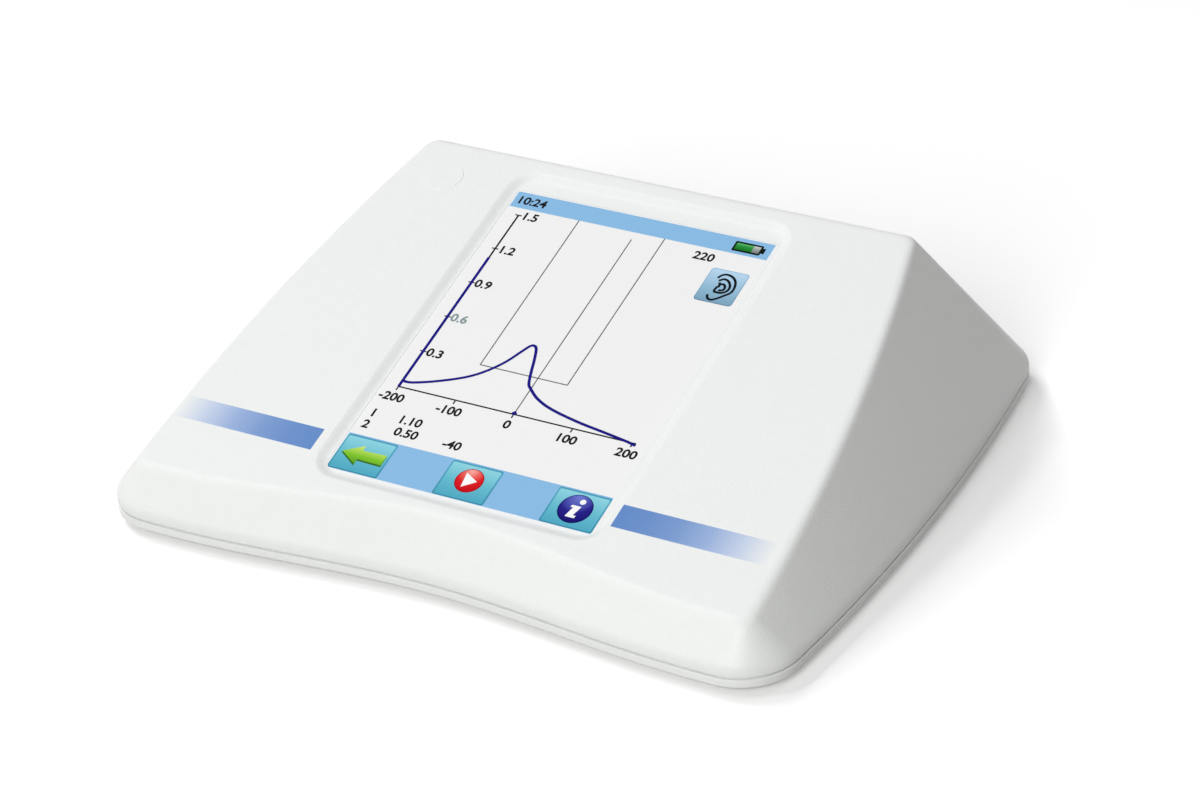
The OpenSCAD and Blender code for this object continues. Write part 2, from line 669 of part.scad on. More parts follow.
module jack_nut() {
  color([0.78, 0.79, 0.8]) translate([jack_at.x, plate_y1, jack_at.y]) rotate([-90, 0, 0])
    difference() {
      cylinder(r = nut_r, h = nut_h, $fn = 6);
      translate([0, 0, -1]) cylinder(r = jack_nose_r + run_gap, h = 5);
    }
}
probe_depth = 9;
probe_rim = 2;
probe_pins_r = 3.4;
probe_pin_z = -8.5;
key_w = 2.4;
module probe_socket() {
  color([0.35, 0.36, 0.37]) translate([probe_at.x, plate_y1, probe_at.y]) rotate([-90, 0, 0])
    difference() {
      union() {
        cylinder(r = probe_r + 1.8, h = probe_rim);
        translate([0, 0, -14]) cylinder(r = probe_r, h = 14.5);
      }
      translate([0, 0, probe_rim - probe_depth]) cylinder(d = probe_bore, h = probe_depth + 1);
      for (a = [0:60:300]) rotate(a) translate([probe_pins_r, 0, probe_pin_z]) cylinder(r = 0.55, h = 5);
      translate([-key_w / 2, probe_bore / 2 - 0.5, probe_rim - probe_depth])
        cube([key_w, 1.7, probe_depth + 1]);
    }
}
module probe_contacts() {
  color([0.85, 0.7, 0.35]) translate([probe_at.x, plate_y1, probe_at.y]) rotate([-90, 0, 0])
    for (a = [0:60:300]) rotate(a) translate([probe_pins_r, 0, probe_pin_z]) cylinder(r = 0.5, h = 6.5);
}
nipple_reach = 8;
nipple_flange_r = 5;
nipple_flange_t = 1.6;
air_bore_r = 0.9;
tube_bore_r = 1.65;
stem_r = 1.6;
module air_nipple() {
  color([0.75, 0.76, 0.77]) translate([nipple_at.x, plate_y1, nipple_at.y]) rotate([-90, 0, 0])
    difference() {
      union() {
        cylinder(r = nipple_flange_r, h = nipple_flange_t);
        cylinder(d = nipple_d, h = nipple_reach);
        translate([0, 0, plate_y0 - plate_y1 - 0.5]) cylinder(d = nipple_d, h = 3);
        translate([0, 0, plate_y0 - plate_y1 - 8]) cylinder(r = stem_r, h = 10);
      }
      translate([0, 0, plate_y0 - plate_y1 - 9]) cylinder(r = air_bore_r, h = 30);
    }
}

// The pump: a geared motor turns a screw, whose nut drives a piston along +X
screw_y = 38;
manifold_y = screw_y;
pump_z = 24;
gear_distance = gear_module * (pinion_teeth + gear_teeth) / 2;
motor_y = screw_y - gear_distance;
wall_t = 2.5;
bracket_y0 = bracket_pad_at[0].y - 6;
bracket_y1 = bracket_pad_at[1].y + 4;
wall_a = -64;
wall_b = -55;
wall_c = -4;
pump_x = wall_c + wall_t;
gear_x = wall_a + wall_t + 1;
gear_w = wall_b - gear_x - 1.5;
bush_r = screw_r + 1.2;
guide_z = pump_z + 9.5;
guide_r = 1.25;
rod_bore = screw_r + 0.4;
rod_r = rod_bore + 1;
bore_r = cylinder_bore / 2;
barrel_r = bore_r + cylinder_wall;
piston_r = bore_r - run_gap;
piston_t = 8;
nut_x = -50;
nut_t = 8;
barrel_end = piston_t + pump_stroke + 8;
motor_r = 12;
motor_l = 20;
motor_screw = 8;
module at_pump(x, y = screw_y, z = pump_z) {
  translate([x, y, z]) rotate([0, 90, 0]) children();
}

module bracket_wall(x, y0, z1) {
  translate([x, y0, bracket_z]) cube([wall_t, screw_y + 8 - y0, z1 - bracket_z]);
}
module pump_bracket() {
  color([0.7, 0.71, 0.72]) difference() {
    union() {
      translate([wall_a, bracket_y0, bracket_z])
        cube([pump_x - wall_a, bracket_y1 - bracket_y0, bracket_t]);
      bracket_wall(wall_a, motor_y - 10, pump_z + 12);
      bracket_wall(wall_b, screw_y - 8, guide_z + 4);
      bracket_wall(wall_c, screw_y - 11, guide_z + 4);
    }
    translate([bracket_pad_at[0].x + 8, bracket_pad_at[0].y + 6, bracket_z - 1])
      cube([bracket_pad_at[2].x - bracket_pad_at[0].x - 12, 12, bracket_t + 2]);
    at_pump(wall_a - 1) cylinder(r = bush_r, h = wall_t + 2);
    at_pump(wall_b - 1) cylinder(r = bush_r, h = wall_t + 2);
    at_pump(wall_c - 1) cylinder(r = rod_r + 0.5, h = wall_t + 2);
    at_pump(wall_b - 1, screw_y, guide_z) cylinder(r = guide_r + run_gap, h = pump_x - wall_b + 2);
    at_pump(wall_a - 1, motor_y) cylinder(r = 3, h = wall_t + 2);
    for (i = [-1, 1])
      at_pump(wall_a - 1, motor_y, pump_z + i * motor_screw) cylinder(r = free_hole_r, h = wall_t + 2);
    for (p = bracket_pad_at)
      translate([p.x, p.y, bracket_z - 1]) cylinder(r = free_hole_r, h = 4);
  }
}
module bracket_screws() {
  for (p = bracket_pad_at) translate([p.x, p.y, bracket_z + bracket_t])
    screw(small_screw_r, bracket_t + 3.4, small_head_r, small_head_h);
  for (i = [-1, 1]) translate([manifold_x, manifold_y + i * manifold_lug, floor_z + manifold_lug_h])
    screw(small_screw_r, manifold_lug_h + 1.6, small_head_r, small_head_h);
}
module pump_motor() {
  color([0.66, 0.67, 0.68]) at_pump(wall_a, motor_y) difference() {
    union() {
      translate([0, 0, -motor_l]) cylinder(r = motor_r, h = motor_l);
      translate([0, 0, -motor_l - 2]) cylinder(r = 4, h = 3);
      cylinder(r = 2.9, h = 1.5);
    }
    translate([0, 0, -6]) cylinder(r = 1.05, h = 10);
    for (i = [-1, 1]) translate([i * motor_screw, 0, -3]) cylinder(r = small_hole_r, h = 5);
  }
}
module motor_screws() {
  for (i = [-1, 1]) at_pump(wall_a + wall_t, motor_y, pump_z + i * motor_screw)
    screw(small_screw_r, wall_t + 2.6, slim_head_r, 0.9);
}

// A spur gear of plain flanked teeth, tooth or gap on +X, with a little backlash
module spur(teeth, gap_first) {
  r = gear_module * teeth / 2;
  step = 360 / teeth;
  half_w = 0.40 * 180 / teeth;
  linear_extrude(gear_w) rotate(gap_first ? step / 2 : 0) polygon([for (i = [0:teeth - 1])
    each [for (k = [[-1.5, -1.1], [-1, 0], [-0.45, 0.75], [0.45, 0.75], [1, 0], [1.5, -1.1]])
      let (a = i * step + k[0] * half_w, q = r + k[1] * gear_module) [q * cos(a), q * sin(a)]]]);
}
module motor_shaft() {
  color([0.8, 0.8, 0.82]) at_pump(wall_a - 5.5, motor_y) cylinder(r = 1, h = gear_x + gear_w - wall_a + 5.7);
}
module motor_pinion() {
  color([0.85, 0.7, 0.4]) at_pump(gear_x, motor_y) difference() {
    rotate(90) spur(pinion_teeth, false);
    translate([0, 0, -1]) cylinder(r = 1, h = gear_w + 2);
  }
}
module screw_gear() {
  color([0.9, 0.9, 0.88]) at_pump(gear_x) difference() {
    rotate(90) spur(gear_teeth, gear_teeth % 2 == 0);
    translate([0, 0, -1]) cylinder(r = screw_r, h = gear_w + 2);
  }
}
module lead_screw() {
  color([0.8, 0.8, 0.82]) at_pump(wall_a + 0.5) cylinder(r = screw_r, h = -wall_a - 0.5 - 20);
}
module screw_bushings() {
  color([0.85, 0.68, 0.35]) for (x = [wall_a, wall_b]) at_pump(x) difference() {
    cylinder(r = bush_r, h = wall_t);
    translate([0, 0, -1]) cylinder(r = screw_r + run_gap, h = wall_t + 2);
  }
}
module guide_rod() {
  color([0.8, 0.8, 0.82]) at_pump(wall_b, screw_y, guide_z) cylinder(r = guide_r, h = pump_x - wall_b);
}
module drive_nut() {
  color([0.85, 0.7, 0.4]) difference() {
    union() {
      at_pump(nut_x) cylinder(r = 5.5, h = nut_t);
      translate([nut_x, screw_y - 2.6, pump_z]) cube([nut_t, 5.2, guide_z - pump_z]);
      at_pump(nut_x, screw_y, guide_z) cylinder(r = 2.6, h = nut_t);
    }
    at_pump(nut_x - 1) cylinder(r = screw_r + run_gap, h = nut_t + 2);
    at_pump(nut_x - 1, screw_y, guide_z) cylinder(r = guide_r + run_gap, h = nut_t + 2);
  }
}
module piston_rod() {
  color([0.8, 0.8, 0.82]) at_pump(nut_x + nut_t) difference() {
    cylinder(r = rod_r, h = -nut_x - nut_t);
    translate([0, 0, -1]) cylinder(r = rod_bore, h = 100);
  }
}
seal_r = 1;
module pump_piston() {
  color([0.9, 0.9, 0.9]) at_pump(0) rotate_extrude() polygon([[0, 0], [piston_r, 0],
    [piston_r, 2.9], [piston_r - 2 * seal_r - run_gap, 2.9], [piston_r - 2 * seal_r - run_gap, 5.1],
    [piston_r, 5.1], [piston_r, piston_t], [0, piston_t]]);
}
module piston_seal() {
  color([0.1, 0.1, 0.1]) at_pump(4) rotate_extrude() translate([piston_r - seal_r, 0]) circle(r = seal_r);
}
module pump_cylinder() {
  color([0.75, 0.78, 0.8]) at_pump(pump_x) difference() {
    union() {
      cylinder(r = barrel_r, h = barrel_end - pump_x);
      cylinder(r = barrel_r + 2, h = 3);
    }
    translate([0, 0, -1]) cylinder(r = bore_r, h = 100);
  }
}
cap_t = 3;
tube_r = 2.6;
manifold_half = 8;
manifold_top = 28;
air_gap = manifold_x - manifold_half - barrel_end - cap_t;
module cylinder_cap() {
  color([0.75, 0.76, 0.77]) at_pump(barrel_end) difference() {
    union() {
      cylinder(r = barrel_r, h = cap_t);
      translate([0, 0, -2]) cylinder(r = bore_r - 0.02, h = 3);
      cylinder(r = stem_r, h = cap_t + air_gap * 0.45);
    }
    translate([0, 0, -3]) cylinder(r = air_bore_r, h = 20);
  }
}
module pump_tube() {
  color([0.85, 0.87, 0.88]) at_pump(barrel_end + cap_t + 0.4) difference() {
    cylinder(r = tube_r, h = air_gap - 0.8);
    translate([0, 0, -1]) cylinder(r = tube_bore_r, h = air_gap + 2);
  }
}
module manifold_block() {
  color([0.8, 0.81, 0.82]) difference() {
    union() {
      translate([manifold_x - manifold_half, manifold_y - manifold_half, floor_z])
        cube([2 * manifold_half, 2 * manifold_half, manifold_top - floor_z]);
      translate([manifold_x - 5, manifold_y - 13, floor_z]) cube([10, 26, manifold_lug_h]);
      at_pump(manifold_x - manifold_half - air_gap * 0.4) cylinder(r = stem_r, h = air_gap * 0.4 + 1);
      translate([nipple_at.x, manifold_y + manifold_half - 1, nipple_at.y]) rotate([-90, 0, 0])
        cylinder(r = stem_r, h = 6);
    }
    at_pump(manifold_x - manifold_half - air_gap) cylinder(r = air_bore_r, h = manifold_half + air_gap);
    translate([nipple_at.x, manifold_y, nipple_at.y]) rotate([-90, 0, 0]) cylinder(r = air_bore_r, h = 20);
    translate([manifold_x, manifold_y, nipple_at.y - 1]) cylinder(r = 1, h = 20);
    for (i = [-1, 1]) translate([manifold_x, manifold_y + i * manifold_lug, floor_z - 1])
      cylinder(r = free_hole_r, h = 6);
  }
}
module probe_tube() {
  y0 = manifold_y + manifold_half + 0.5;
  color([0.85, 0.87, 0.88]) translate([nipple_at.x, y0, nipple_at.y]) rotate([-90, 0, 0]) difference() {
    cylinder(r = tube_r, h = plate_y0 - 1 - y0);
    translate([0, 0, -1]) cylinder(r = tube_bore_r, h = plate_y0);
  }
}
module pressure_sensor() {
  color([0.9, 0.9, 0.86]) translate([manifold_x - 5, manifold_y - manifold_half - 5, 10]) union() {
    cube([10, 5, 10]);
    for (i = [0:3]) translate([1.6 + i * 2, -2.6, 1]) cube([0.8, 2.8, 0.6]);
  }
}
// The bleed valve on the manifold: a plunger held down by a spring in a blind body
valve_r = 5.5;
valve_bore = 3.2;
valve_h = 11;
valve_roof = 1.6;
plunger_h = 6;
spring_wall = 0.8;
module valve_body() {
  color([0.2, 0.22, 0.25]) translate([manifold_x, manifold_y, manifold_top]) difference() {
    cylinder(r = valve_r, h = valve_h);
    translate([0, 0, -1]) cylinder(r = valve_bore, h = valve_h - valve_roof + 1);
  }
}
module valve_plunger() {
  color([0.8, 0.8, 0.82]) translate([manifold_x, manifold_y, manifold_top + 0.1])
    cylinder(r = valve_bore - run_gap, h = plunger_h);
}
spring_z = manifold_top + 0.1 + plunger_h;
module valve_spring() {
  color([0.75, 0.75, 0.76]) translate([manifold_x, manifold_y, spring_z]) difference() {
    cylinder(r = valve_bore - spring_wall, h = manifold_top + valve_h - valve_roof - spring_z);
    translate([0, 0, -1]) cylinder(r = valve_bore - 2 * spring_wall, h = 20);
  }
}

top_cover();
base_tray();
rear_panel();
touch_panel();
screen_gasket();
display_frame();
display_glass();
backlight();
main_board();
board_screws();
processor_chips();
board_headers();
buzzer();
display_ribbon();
case_screws();
rubber_feet();
battery_cells();
battery_contacts();
battery_door();
door_screw();
switch_body();
power_rocker();
power_inlet();
usb_port();
earphone_jack();
jack_nut();
probe_socket();
probe_contacts();
air_nipple();
connector_board();
connector_screws();
pump_bracket();
bracket_screws();
pump_motor();
motor_screws();
motor_shaft();
motor_pinion();
lead_screw();
screw_gear();
screw_bushings();
guide_rod();
drive_nut();
piston_rod();
pump_piston();
piston_seal();
pump_cylinder();
cylinder_cap();
manifold_block();
pressure_sensor();
valve_body();
valve_plunger();
valve_spring();
pump_tube();
probe_tube();
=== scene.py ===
import math

import bmesh
import bpy
from mathutils import Matrix, Vector


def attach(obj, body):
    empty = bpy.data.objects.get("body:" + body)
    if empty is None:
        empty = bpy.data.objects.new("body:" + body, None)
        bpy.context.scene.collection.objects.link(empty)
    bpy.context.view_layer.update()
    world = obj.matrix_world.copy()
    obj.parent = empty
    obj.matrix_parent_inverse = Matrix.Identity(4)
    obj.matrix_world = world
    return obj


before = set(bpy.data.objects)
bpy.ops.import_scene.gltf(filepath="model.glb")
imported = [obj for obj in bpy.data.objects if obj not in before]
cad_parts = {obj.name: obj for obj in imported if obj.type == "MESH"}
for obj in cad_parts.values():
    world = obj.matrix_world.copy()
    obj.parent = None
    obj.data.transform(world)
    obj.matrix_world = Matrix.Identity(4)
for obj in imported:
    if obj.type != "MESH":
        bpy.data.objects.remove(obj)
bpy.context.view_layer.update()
mm = 0.001

# The console stands on a bench and is seen from its front right corner, from well above,
# through a long lens that leans a little to the left.
screen_centre = Vector((0, -17, 41.6)) * mm
camera_from_screen = Vector((515.4, -790.4, 520.6)) * mm
look_turn = math.radians(32.35)
look_down = math.radians(29.66)
camera_lean = math.radians(-4.04)
lens_length = 114
film_width = 36
nearest = 0.05
farthest = 20
lens_data = bpy.data.cameras.new("studio_camera")
lens_data.lens = lens_length
lens_data.sensor_width = film_width
lens_data.clip_start = nearest
lens_data.clip_end = farthest
camera = bpy.data.objects.new("studio_camera", lens_data)
bpy.context.scene.collection.objects.link(camera)
turn = Matrix.Rotation(look_turn, 4, "Z") @ Matrix.Rotation(math.pi / 2 - look_down, 4, "X")
camera.matrix_world = (Matrix.Translation(screen_centre + camera_from_screen)
                       @ turn @ Matrix.Rotation(camera_lean, 4, "Z"))
bpy.context.scene.camera = camera
bpy.context.scene.view_settings.view_transform = "Standard"


# The bench: a plain white top that the console's four feet stand on. The lens sees it as
# white with the console's shadow on it, while it throws back less light than it shows.
# A Finish is one material's node tree, and a Link is a socket on which sums can be written.
class Link:
    def __init__(self, finish, socket):
        self.finish = finish
        self.socket = socket

    def sum(self, operation, *others, clamp=False):
        settings = {"operation": operation, "use_clamp": clamp}
        return self.finish.node("ShaderNodeMath", settings, [self, *others])

    def __add__(self, other):
        return self.sum("ADD", other)

    def __sub__(self, other):
        return self.sum("SUBTRACT", other)

    def __rsub__(self, other):
        return self.finish.node("ShaderNodeMath", {"operation": "SUBTRACT"}, [other, self])

    def __mul__(self, other):
        return self.sum("MULTIPLY", other)

    def __truediv__(self, other):
        return self.sum("DIVIDE", other)

    __radd__ = __add__
    __rmul__ = __mul__

    def size(self):
        return self.sum("ABSOLUTE")

    def wave(self):
        return self.sum("SINE") * 0.5 + 0.5

    def below(self, edge, soft):
        return ((edge - self) / soft).sum("ADD", 0.5, clamp=True)

    def above(self, edge, soft):
        return ((self - edge) / soft).sum("ADD", 0.5, clamp=True)


class Finish:
    def __init__(self, name):
        self.material = bpy.data.materials.new(name)
        self.material.use_nodes = True
        self.tree = self.material.node_tree
        self.tree.nodes.clear()
        self.output = self.tree.nodes.new("ShaderNodeOutputMaterial")

    def set(self, socket, value):
        if isinstance(value, Link):
            self.tree.links.new(value.socket, socket)
        elif socket.type == "RGBA":
            socket.default_value = (*value[:3], 1)
        else:
            socket.default_value = value

    def node(self, kind, settings=None, inputs=(), out=0):
        made = self.tree.nodes.new(kind)
        for key, value in (settings or {}).items():
            if key == "stops":
                ramp = made.color_ramp
                while len(ramp.elements) < len(value):
                    ramp.elements.new(0.5)
                for element, (place, colour) in zip(ramp.elements, value):
                    element.position = place
                    element.color = (*colour, 1)
            else:
                setattr(made, key, value)
        pairs = inputs.items() if isinstance(inputs, dict) else enumerate(inputs)
        for key, value in pairs:
            self.set(made.inputs[key], value)
        return Link(self, made.outputs[out])

    def place(self):
        return self.node("ShaderNodeTexCoord", out=3)

    def axes(self, vector):
        split = self.node("ShaderNodeSeparateXYZ", inputs=[vector])
        return [Link(self, socket) for socket in split.socket.node.outputs]

    def noise(self, scale, detail=3, rough=0.5, stretch=None):
        vector = self.place()
        if stretch:
            vector = self.node("ShaderNodeVectorMath", {"operation": "MULTIPLY"}, [vector, stretch])
        inputs = {"Vector": vector, "Scale": scale, "Detail": detail, "Roughness": rough}
        return self.node("ShaderNodeTexNoise", inputs=inputs)

    def spread(self, value, low, high):
        inputs = {"Value": value, "From Min": low, "From Max": high}
        return self.node("ShaderNodeMapRange", inputs=inputs)

    def ramp(self, value, stops):
        return self.node("ShaderNodeValToRGB", {"stops": stops}, [value])

    def blend(self, share, first, second):
        inputs = {0: share, 6: first, 7: second}
        return self.node("ShaderNodeMix", {"data_type": "RGBA"}, inputs, out=2)

    def bump(self, height, strength, distance):
        inputs = {"Height": height, "Strength": strength, "Distance": distance}
        return self.node("ShaderNodeBump", inputs=inputs)

    def surface(self, **inputs):
        named = {key.replace("_", " "): value for key, value in inputs.items()}
        shader = self.node("ShaderNodeBsdfPrincipled", inputs=named)
        self.set(self.output.inputs["Surface"], shader)
        return self.material


bench_half = 6.0
bench_glow = 0.2
bench_bounce = 0.57
bench_white = (1, 1, 1)
bench_grey = (bench_bounce, 0.99 * bench_bounce, 0.94 * bench_bounce)
bench_mesh = bpy.data.meshes.new("bench")
bench_mesh.from_pydata([(-bench_half, -bench_half, 0), (bench_half, -bench_half, 0),
                        (bench_half, bench_half, 0), (-bench_half, bench_half, 0)], [], [(0, 1, 2, 3)])
bench = bpy.data.objects.new("bench", bench_mesh)
bpy.context.scene.collection.objects.link(bench)
bench_top = Finish("bench_white")
ray_kinds = bench_top.node("ShaderNodeLightPath").socket.node.outputs
looked_at = Link(bench_top, ray_kinds["Is Camera Ray"])
for mirrored_ray in ("Is Glossy Ray", "Is Transmission Ray"):
    looked_at = looked_at.sum("MAXIMUM", Link(bench_top, ray_kinds[mirrored_ray]))
matt_white = bench_top.node("ShaderNodeBsdfDiffuse", inputs={"Color": bench_white})
white_glow = bench_top.node("ShaderNodeEmission", inputs={"Color": bench_white, "Strength": bench_glow})
lit_white = bench_top.node("ShaderNodeAddShader", inputs=[matt_white, white_glow])
matt_grey = bench_top.node("ShaderNodeBsdfDiffuse", inputs={"Color": bench_grey})
bench_top.set(bench_top.output.inputs["Surface"],
              bench_top.node("ShaderNodeMixShader", inputs=[looked_at, matt_grey, lit_white]))
bench_mesh.materials.append(bench_top.material)

# The light: a soft even sky that the lens sees as white, a broad lamp high at the back left
# that throws the shadow and leaves no gleam, one in front that opens the near sides, a
# small high one that gleams along the waved crease, and a weak one behind.
sky_level = 0.12
sky_white = 1
world = bpy.data.worlds.new("studio_sky")
bpy.context.scene.world = world
world.use_nodes = True
sky_nodes = world.node_tree.nodes
sky_link = world.node_tree.links.new
sky = sky_nodes["Background"]
sky.inputs["Color"].default_value = (1, 1, 1, 1)
sky_rays = sky_nodes.new("ShaderNodeLightPath")
sky_seen = sky_nodes.new("ShaderNodeMath")
sky_seen.operation = "MAXIMUM"
sky_mirrored = sky_nodes.new("ShaderNodeMath")
sky_mirrored.operation = "MAXIMUM"
sky_strength = sky_nodes.new("ShaderNodeMapRange")
sky_strength.inputs["To Min"].default_value = sky_level
sky_strength.inputs["To Max"].default_value = sky_white
sky_link(sky_rays.outputs["Is Glossy Ray"], sky_mirrored.inputs[0])
sky_link(sky_rays.outputs["Is Transmission Ray"], sky_mirrored.inputs[1])
sky_link(sky_rays.outputs["Is Camera Ray"], sky_seen.inputs[0])
sky_link(sky_mirrored.outputs[0], sky_seen.inputs[1])
sky_link(sky_seen.outputs[0], sky_strength.inputs["Value"])
sky_link(sky_strength.outputs["Result"], sky.inputs["Strength"])


def lamp(name, place, size, power, gleams, colour=(1, 1, 1)):
    data = bpy.data.lights.new(name, "AREA")
    data.shape = "DISK"
    data.size = size
    data.energy = power
    data.color = colour
    light = bpy.data.objects.new(name, data)
    bpy.context.scene.collection.objects.link(light)
    light.location = place
    light.rotation_euler = (-Vector(place)).to_track_quat("-Z", "Y").to_euler()
    light.visible_glossy = gleams


lamp("back_left_lamp", (-2.07, 0.75, 2.67), 1.35, 48, False)
lamp("front_lamp", (0.36, -2.0, 1.12), 1.3, 32.5, True, (1, 1, 0.995))
lamp("high_lamp", (-1.15, -0.47, 2.05), 0.3, 6.8, True)
lamp("back_lamp", (0.6, 1.1, 1.95), 1.0, 4.6, True)

# The case: a cover and a tray injection moulded in cool white satin plastic, the cover with
# two blue stripes printed on its deck that fade out towards the sides. The battery door and
# the socket plate are the same stock, and all of it has a fine spark-eroded grain.
deck_slope = math.radians(18)


def linear(red, green, blue):
    def channel(c):
        c = c / 255
        return c / 12.92 if c <= 0.04045 else ((c + 0.055) / 1.055) ** 2.4
    return tuple(channel(c) for c in (red, green, blue))


def shade(colour, factor):
    return tuple(min(1, c * factor) for c in colour)


case_white = linear(241, 243, 242)
stripe_stops = [(0, linear(88, 132, 196)), (0.2, linear(98, 138, 199)), (0.4, linear(118, 152, 206)),
                (0.6, linear(152, 177, 220)), (0.8, linear(198, 211, 234)), (1, case_white)]
stripe_low = -54.1 * mm
stripe_high = -45.9 * mm
stripe_inner = 49 * mm
stripe_middle = -1.3 * mm
stripe_outer = 97 * mm
stripe_edge = 0.15 * mm
grain_scale = 2000
grain_depth = 0.2 * mm
sharp_angle = math.radians(28)
weld_reach = 1e-6


def deck_axes(f):
    x, y, z = f.axes(f.place())
    up = (y - screen_centre.y) * math.cos(deck_slope) + (z - screen_centre.z) * math.sin(deck_slope)
    return x, up


def case_plastic(name, striped=False):
    f = Finish(name)
    cloud = f.noise(28, 2)
    grain = f.noise(grain_scale, 3, 0.6)
    fleck = f.blend(grain.above(0.5, 0.4), shade(case_white, 0.972), shade(case_white, 1.022))
    tone = f.blend(cloud, shade(case_white, 0.985), fleck)
    if striped:
        x, up = deck_axes(f)
        out = (x - stripe_middle).size()
        inside = (up.above(stripe_low, stripe_edge) * up.below(stripe_high, stripe_edge)
                  * out.above(stripe_inner, stripe_edge))
        upward = f.axes(f.node("ShaderNodeNewGeometry", out=1))[2].above(0.6, 0.1)
        stripe_blue = f.ramp(f.spread(out, stripe_inner, stripe_outer), stripe_stops)
        tone = f.blend(inside * upward, tone, stripe_blue)
    return f.surface(Base_Color=tone, Roughness=0.3 + 0.07 * cloud, Specular_IOR_Level=0.42,
                     Normal=f.bump(grain, 0.6, grain_depth))


# The solids come as flat facets, so each is shaded round over every edge that is not sharp.
def soft_shading_group():
    group = bpy.data.node_groups.new("soft_shading", "GeometryNodeTree")
    group.interface.new_socket("Mesh", in_out="INPUT", socket_type="NodeSocketGeometry")
    group.interface.new_socket("Mesh", in_out="OUTPUT", socket_type="NodeSocketGeometry")
    start = group.nodes.new("NodeGroupInput")
    end = group.nodes.new("NodeGroupOutput")
    forget = group.nodes.new("GeometryNodeRemoveAttribute")
    forget.inputs["Name"].default_value = "custom_normal"
    weld = group.nodes.new("GeometryNodeMergeByDistance")
    weld.inputs["Distance"].default_value = weld_reach
    faces = group.nodes.new("GeometryNodeSetShadeSmooth")
    edges = group.nodes.new("GeometryNodeSetShadeSmooth")
    edges.domain = "EDGE"
    angle = group.nodes.new("GeometryNodeInputMeshEdgeAngle")
    gentle = group.nodes.new("FunctionNodeCompare")
    gentle.operation = "LESS_THAN"
    gentle.inputs["B"].default_value = sharp_angle
    link = group.links.new
    link(start.outputs[0], forget.inputs["Geometry"])
    link(forget.outputs["Geometry"], weld.inputs["Geometry"])
    link(weld.outputs["Geometry"], faces.inputs["Geometry"])
    link(faces.outputs["Geometry"], edges.inputs["Geometry"])
    link(angle.outputs["Unsigned Angle"], gentle.inputs["A"])
    link(gentle.outputs["Result"], edges.inputs["Shade Smooth"])
    link(edges.outputs["Geometry"], end.inputs[0])
    return group


soft_shading = soft_shading_group()


def round_shading(node):
    soften = node.modifiers.new("soft_shading", "NODES")
    soften.node_group = soft_shading
    weigh = node.modifiers.new("even_shading", "WEIGHTED_NORMAL")
    weigh.keep_sharp = True


def dress(material, *names):
    for name in names:
        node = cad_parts[name]
        node.data.materials.clear()
        node.data.materials.append(material)
        round_shading(node)


dress(case_plastic("striped_case_plastic", striped=True), "top_cover")
plain_case = case_plastic("case_plastic")
dress(plain_case, "base_tray", "battery_door", "rear_panel")

# The blank badge: a thin moulded disc let into the deck at its upper left, with a raised
# rim and a plain middle.
badge_at = (-68.2, 56.4)
badge_radius = 5.5
badge_profile = [(0, -0.05), (0, 0.06), (0.08, 0.14), (0.3, 0.16), (0.55, 0.14), (0.75, 0.09)]
badge_steps = 96


def deck_point(u, v, n):
    flat = Vector((u, v * math.cos(deck_slope) - n * math.sin(deck_slope),
                   v * math.sin(deck_slope) + n * math.cos(deck_slope)))
    return screen_centre + flat * mm


def add_piece(name, points, faces, material, body="case"):
    mesh = bpy.data.meshes.new(name)
    mesh.from_pydata(points, [], faces)
    mesh.materials.append(material)
    tidy = bmesh.new()
    tidy.from_mesh(mesh)
    bmesh.ops.recalc_face_normals(tidy, faces=tidy.faces)
    tidy.to_mesh(mesh)
    tidy.free()
    piece = bpy.data.objects.new(name, mesh)
    bpy.context.scene.collection.objects.link(piece)
    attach(piece, body)
    return piece


def badge_ring(inset, height):
    reach = badge_radius - inset
    turns = [2 * math.pi * i / badge_steps for i in range(badge_steps)]
    return [deck_point(badge_at[0] + reach * math.cos(a), badge_at[1] + reach * math.sin(a), height)
            for a in turns]


def ring_faces(rings, steps):
    for ring in range(rings - 1):
        for i in range(steps):
            k = (i + 1) % steps
            yield (ring * steps + i, ring * steps + k, (ring + 1) * steps + k, (ring + 1) * steps + i)


badge_points = [point for inset, height in badge_profile for point in badge_ring(inset, height)]
badge_back = tuple(range(badge_steps))
badge_front = tuple(range(len(badge_points) - badge_steps, len(badge_points)))
badge_faces = [badge_back, *ring_faces(len(badge_profile), badge_steps), badge_front]
badge = add_piece("blank_badge", badge_points, badge_faces, plain_case)
round_shading(badge)

# The touch panel: a film-faced glass sheet let into the window, silver-white round the edge
# of the lit page. The page itself is drawn on it as flat layers of colour a few hundredths
# of a millimetre thick, each laid on the one below and glowing a little.
fine_depth = 0.03 * mm


def smooth_stock(name, colour, rough, mottle=0.04, **more):
    f = Finish(name)
    cloud = f.noise(55, 3)
    fine = f.noise(1800, 2, 0.55)
    tone = f.blend(cloud, shade(linear(*colour), 1 - mottle), shade(linear(*colour), 1 + mottle))
    return f.surface(Base_Color=tone, Roughness=rough - 0.04 + 0.08 * cloud,
                     Normal=f.bump(fine, 0.12, fine_depth), **more)


dress(smooth_stock("panel_silver_white", (240, 242, 243), 0.3, 0.01), "touch_panel")
panel_top = -1.55
layer = 0.02
page_shift = (-0.35, 0.4)
page_glow = 0.3
page_gloss = 0.02
corner_steps = 6
curve_steps = 10


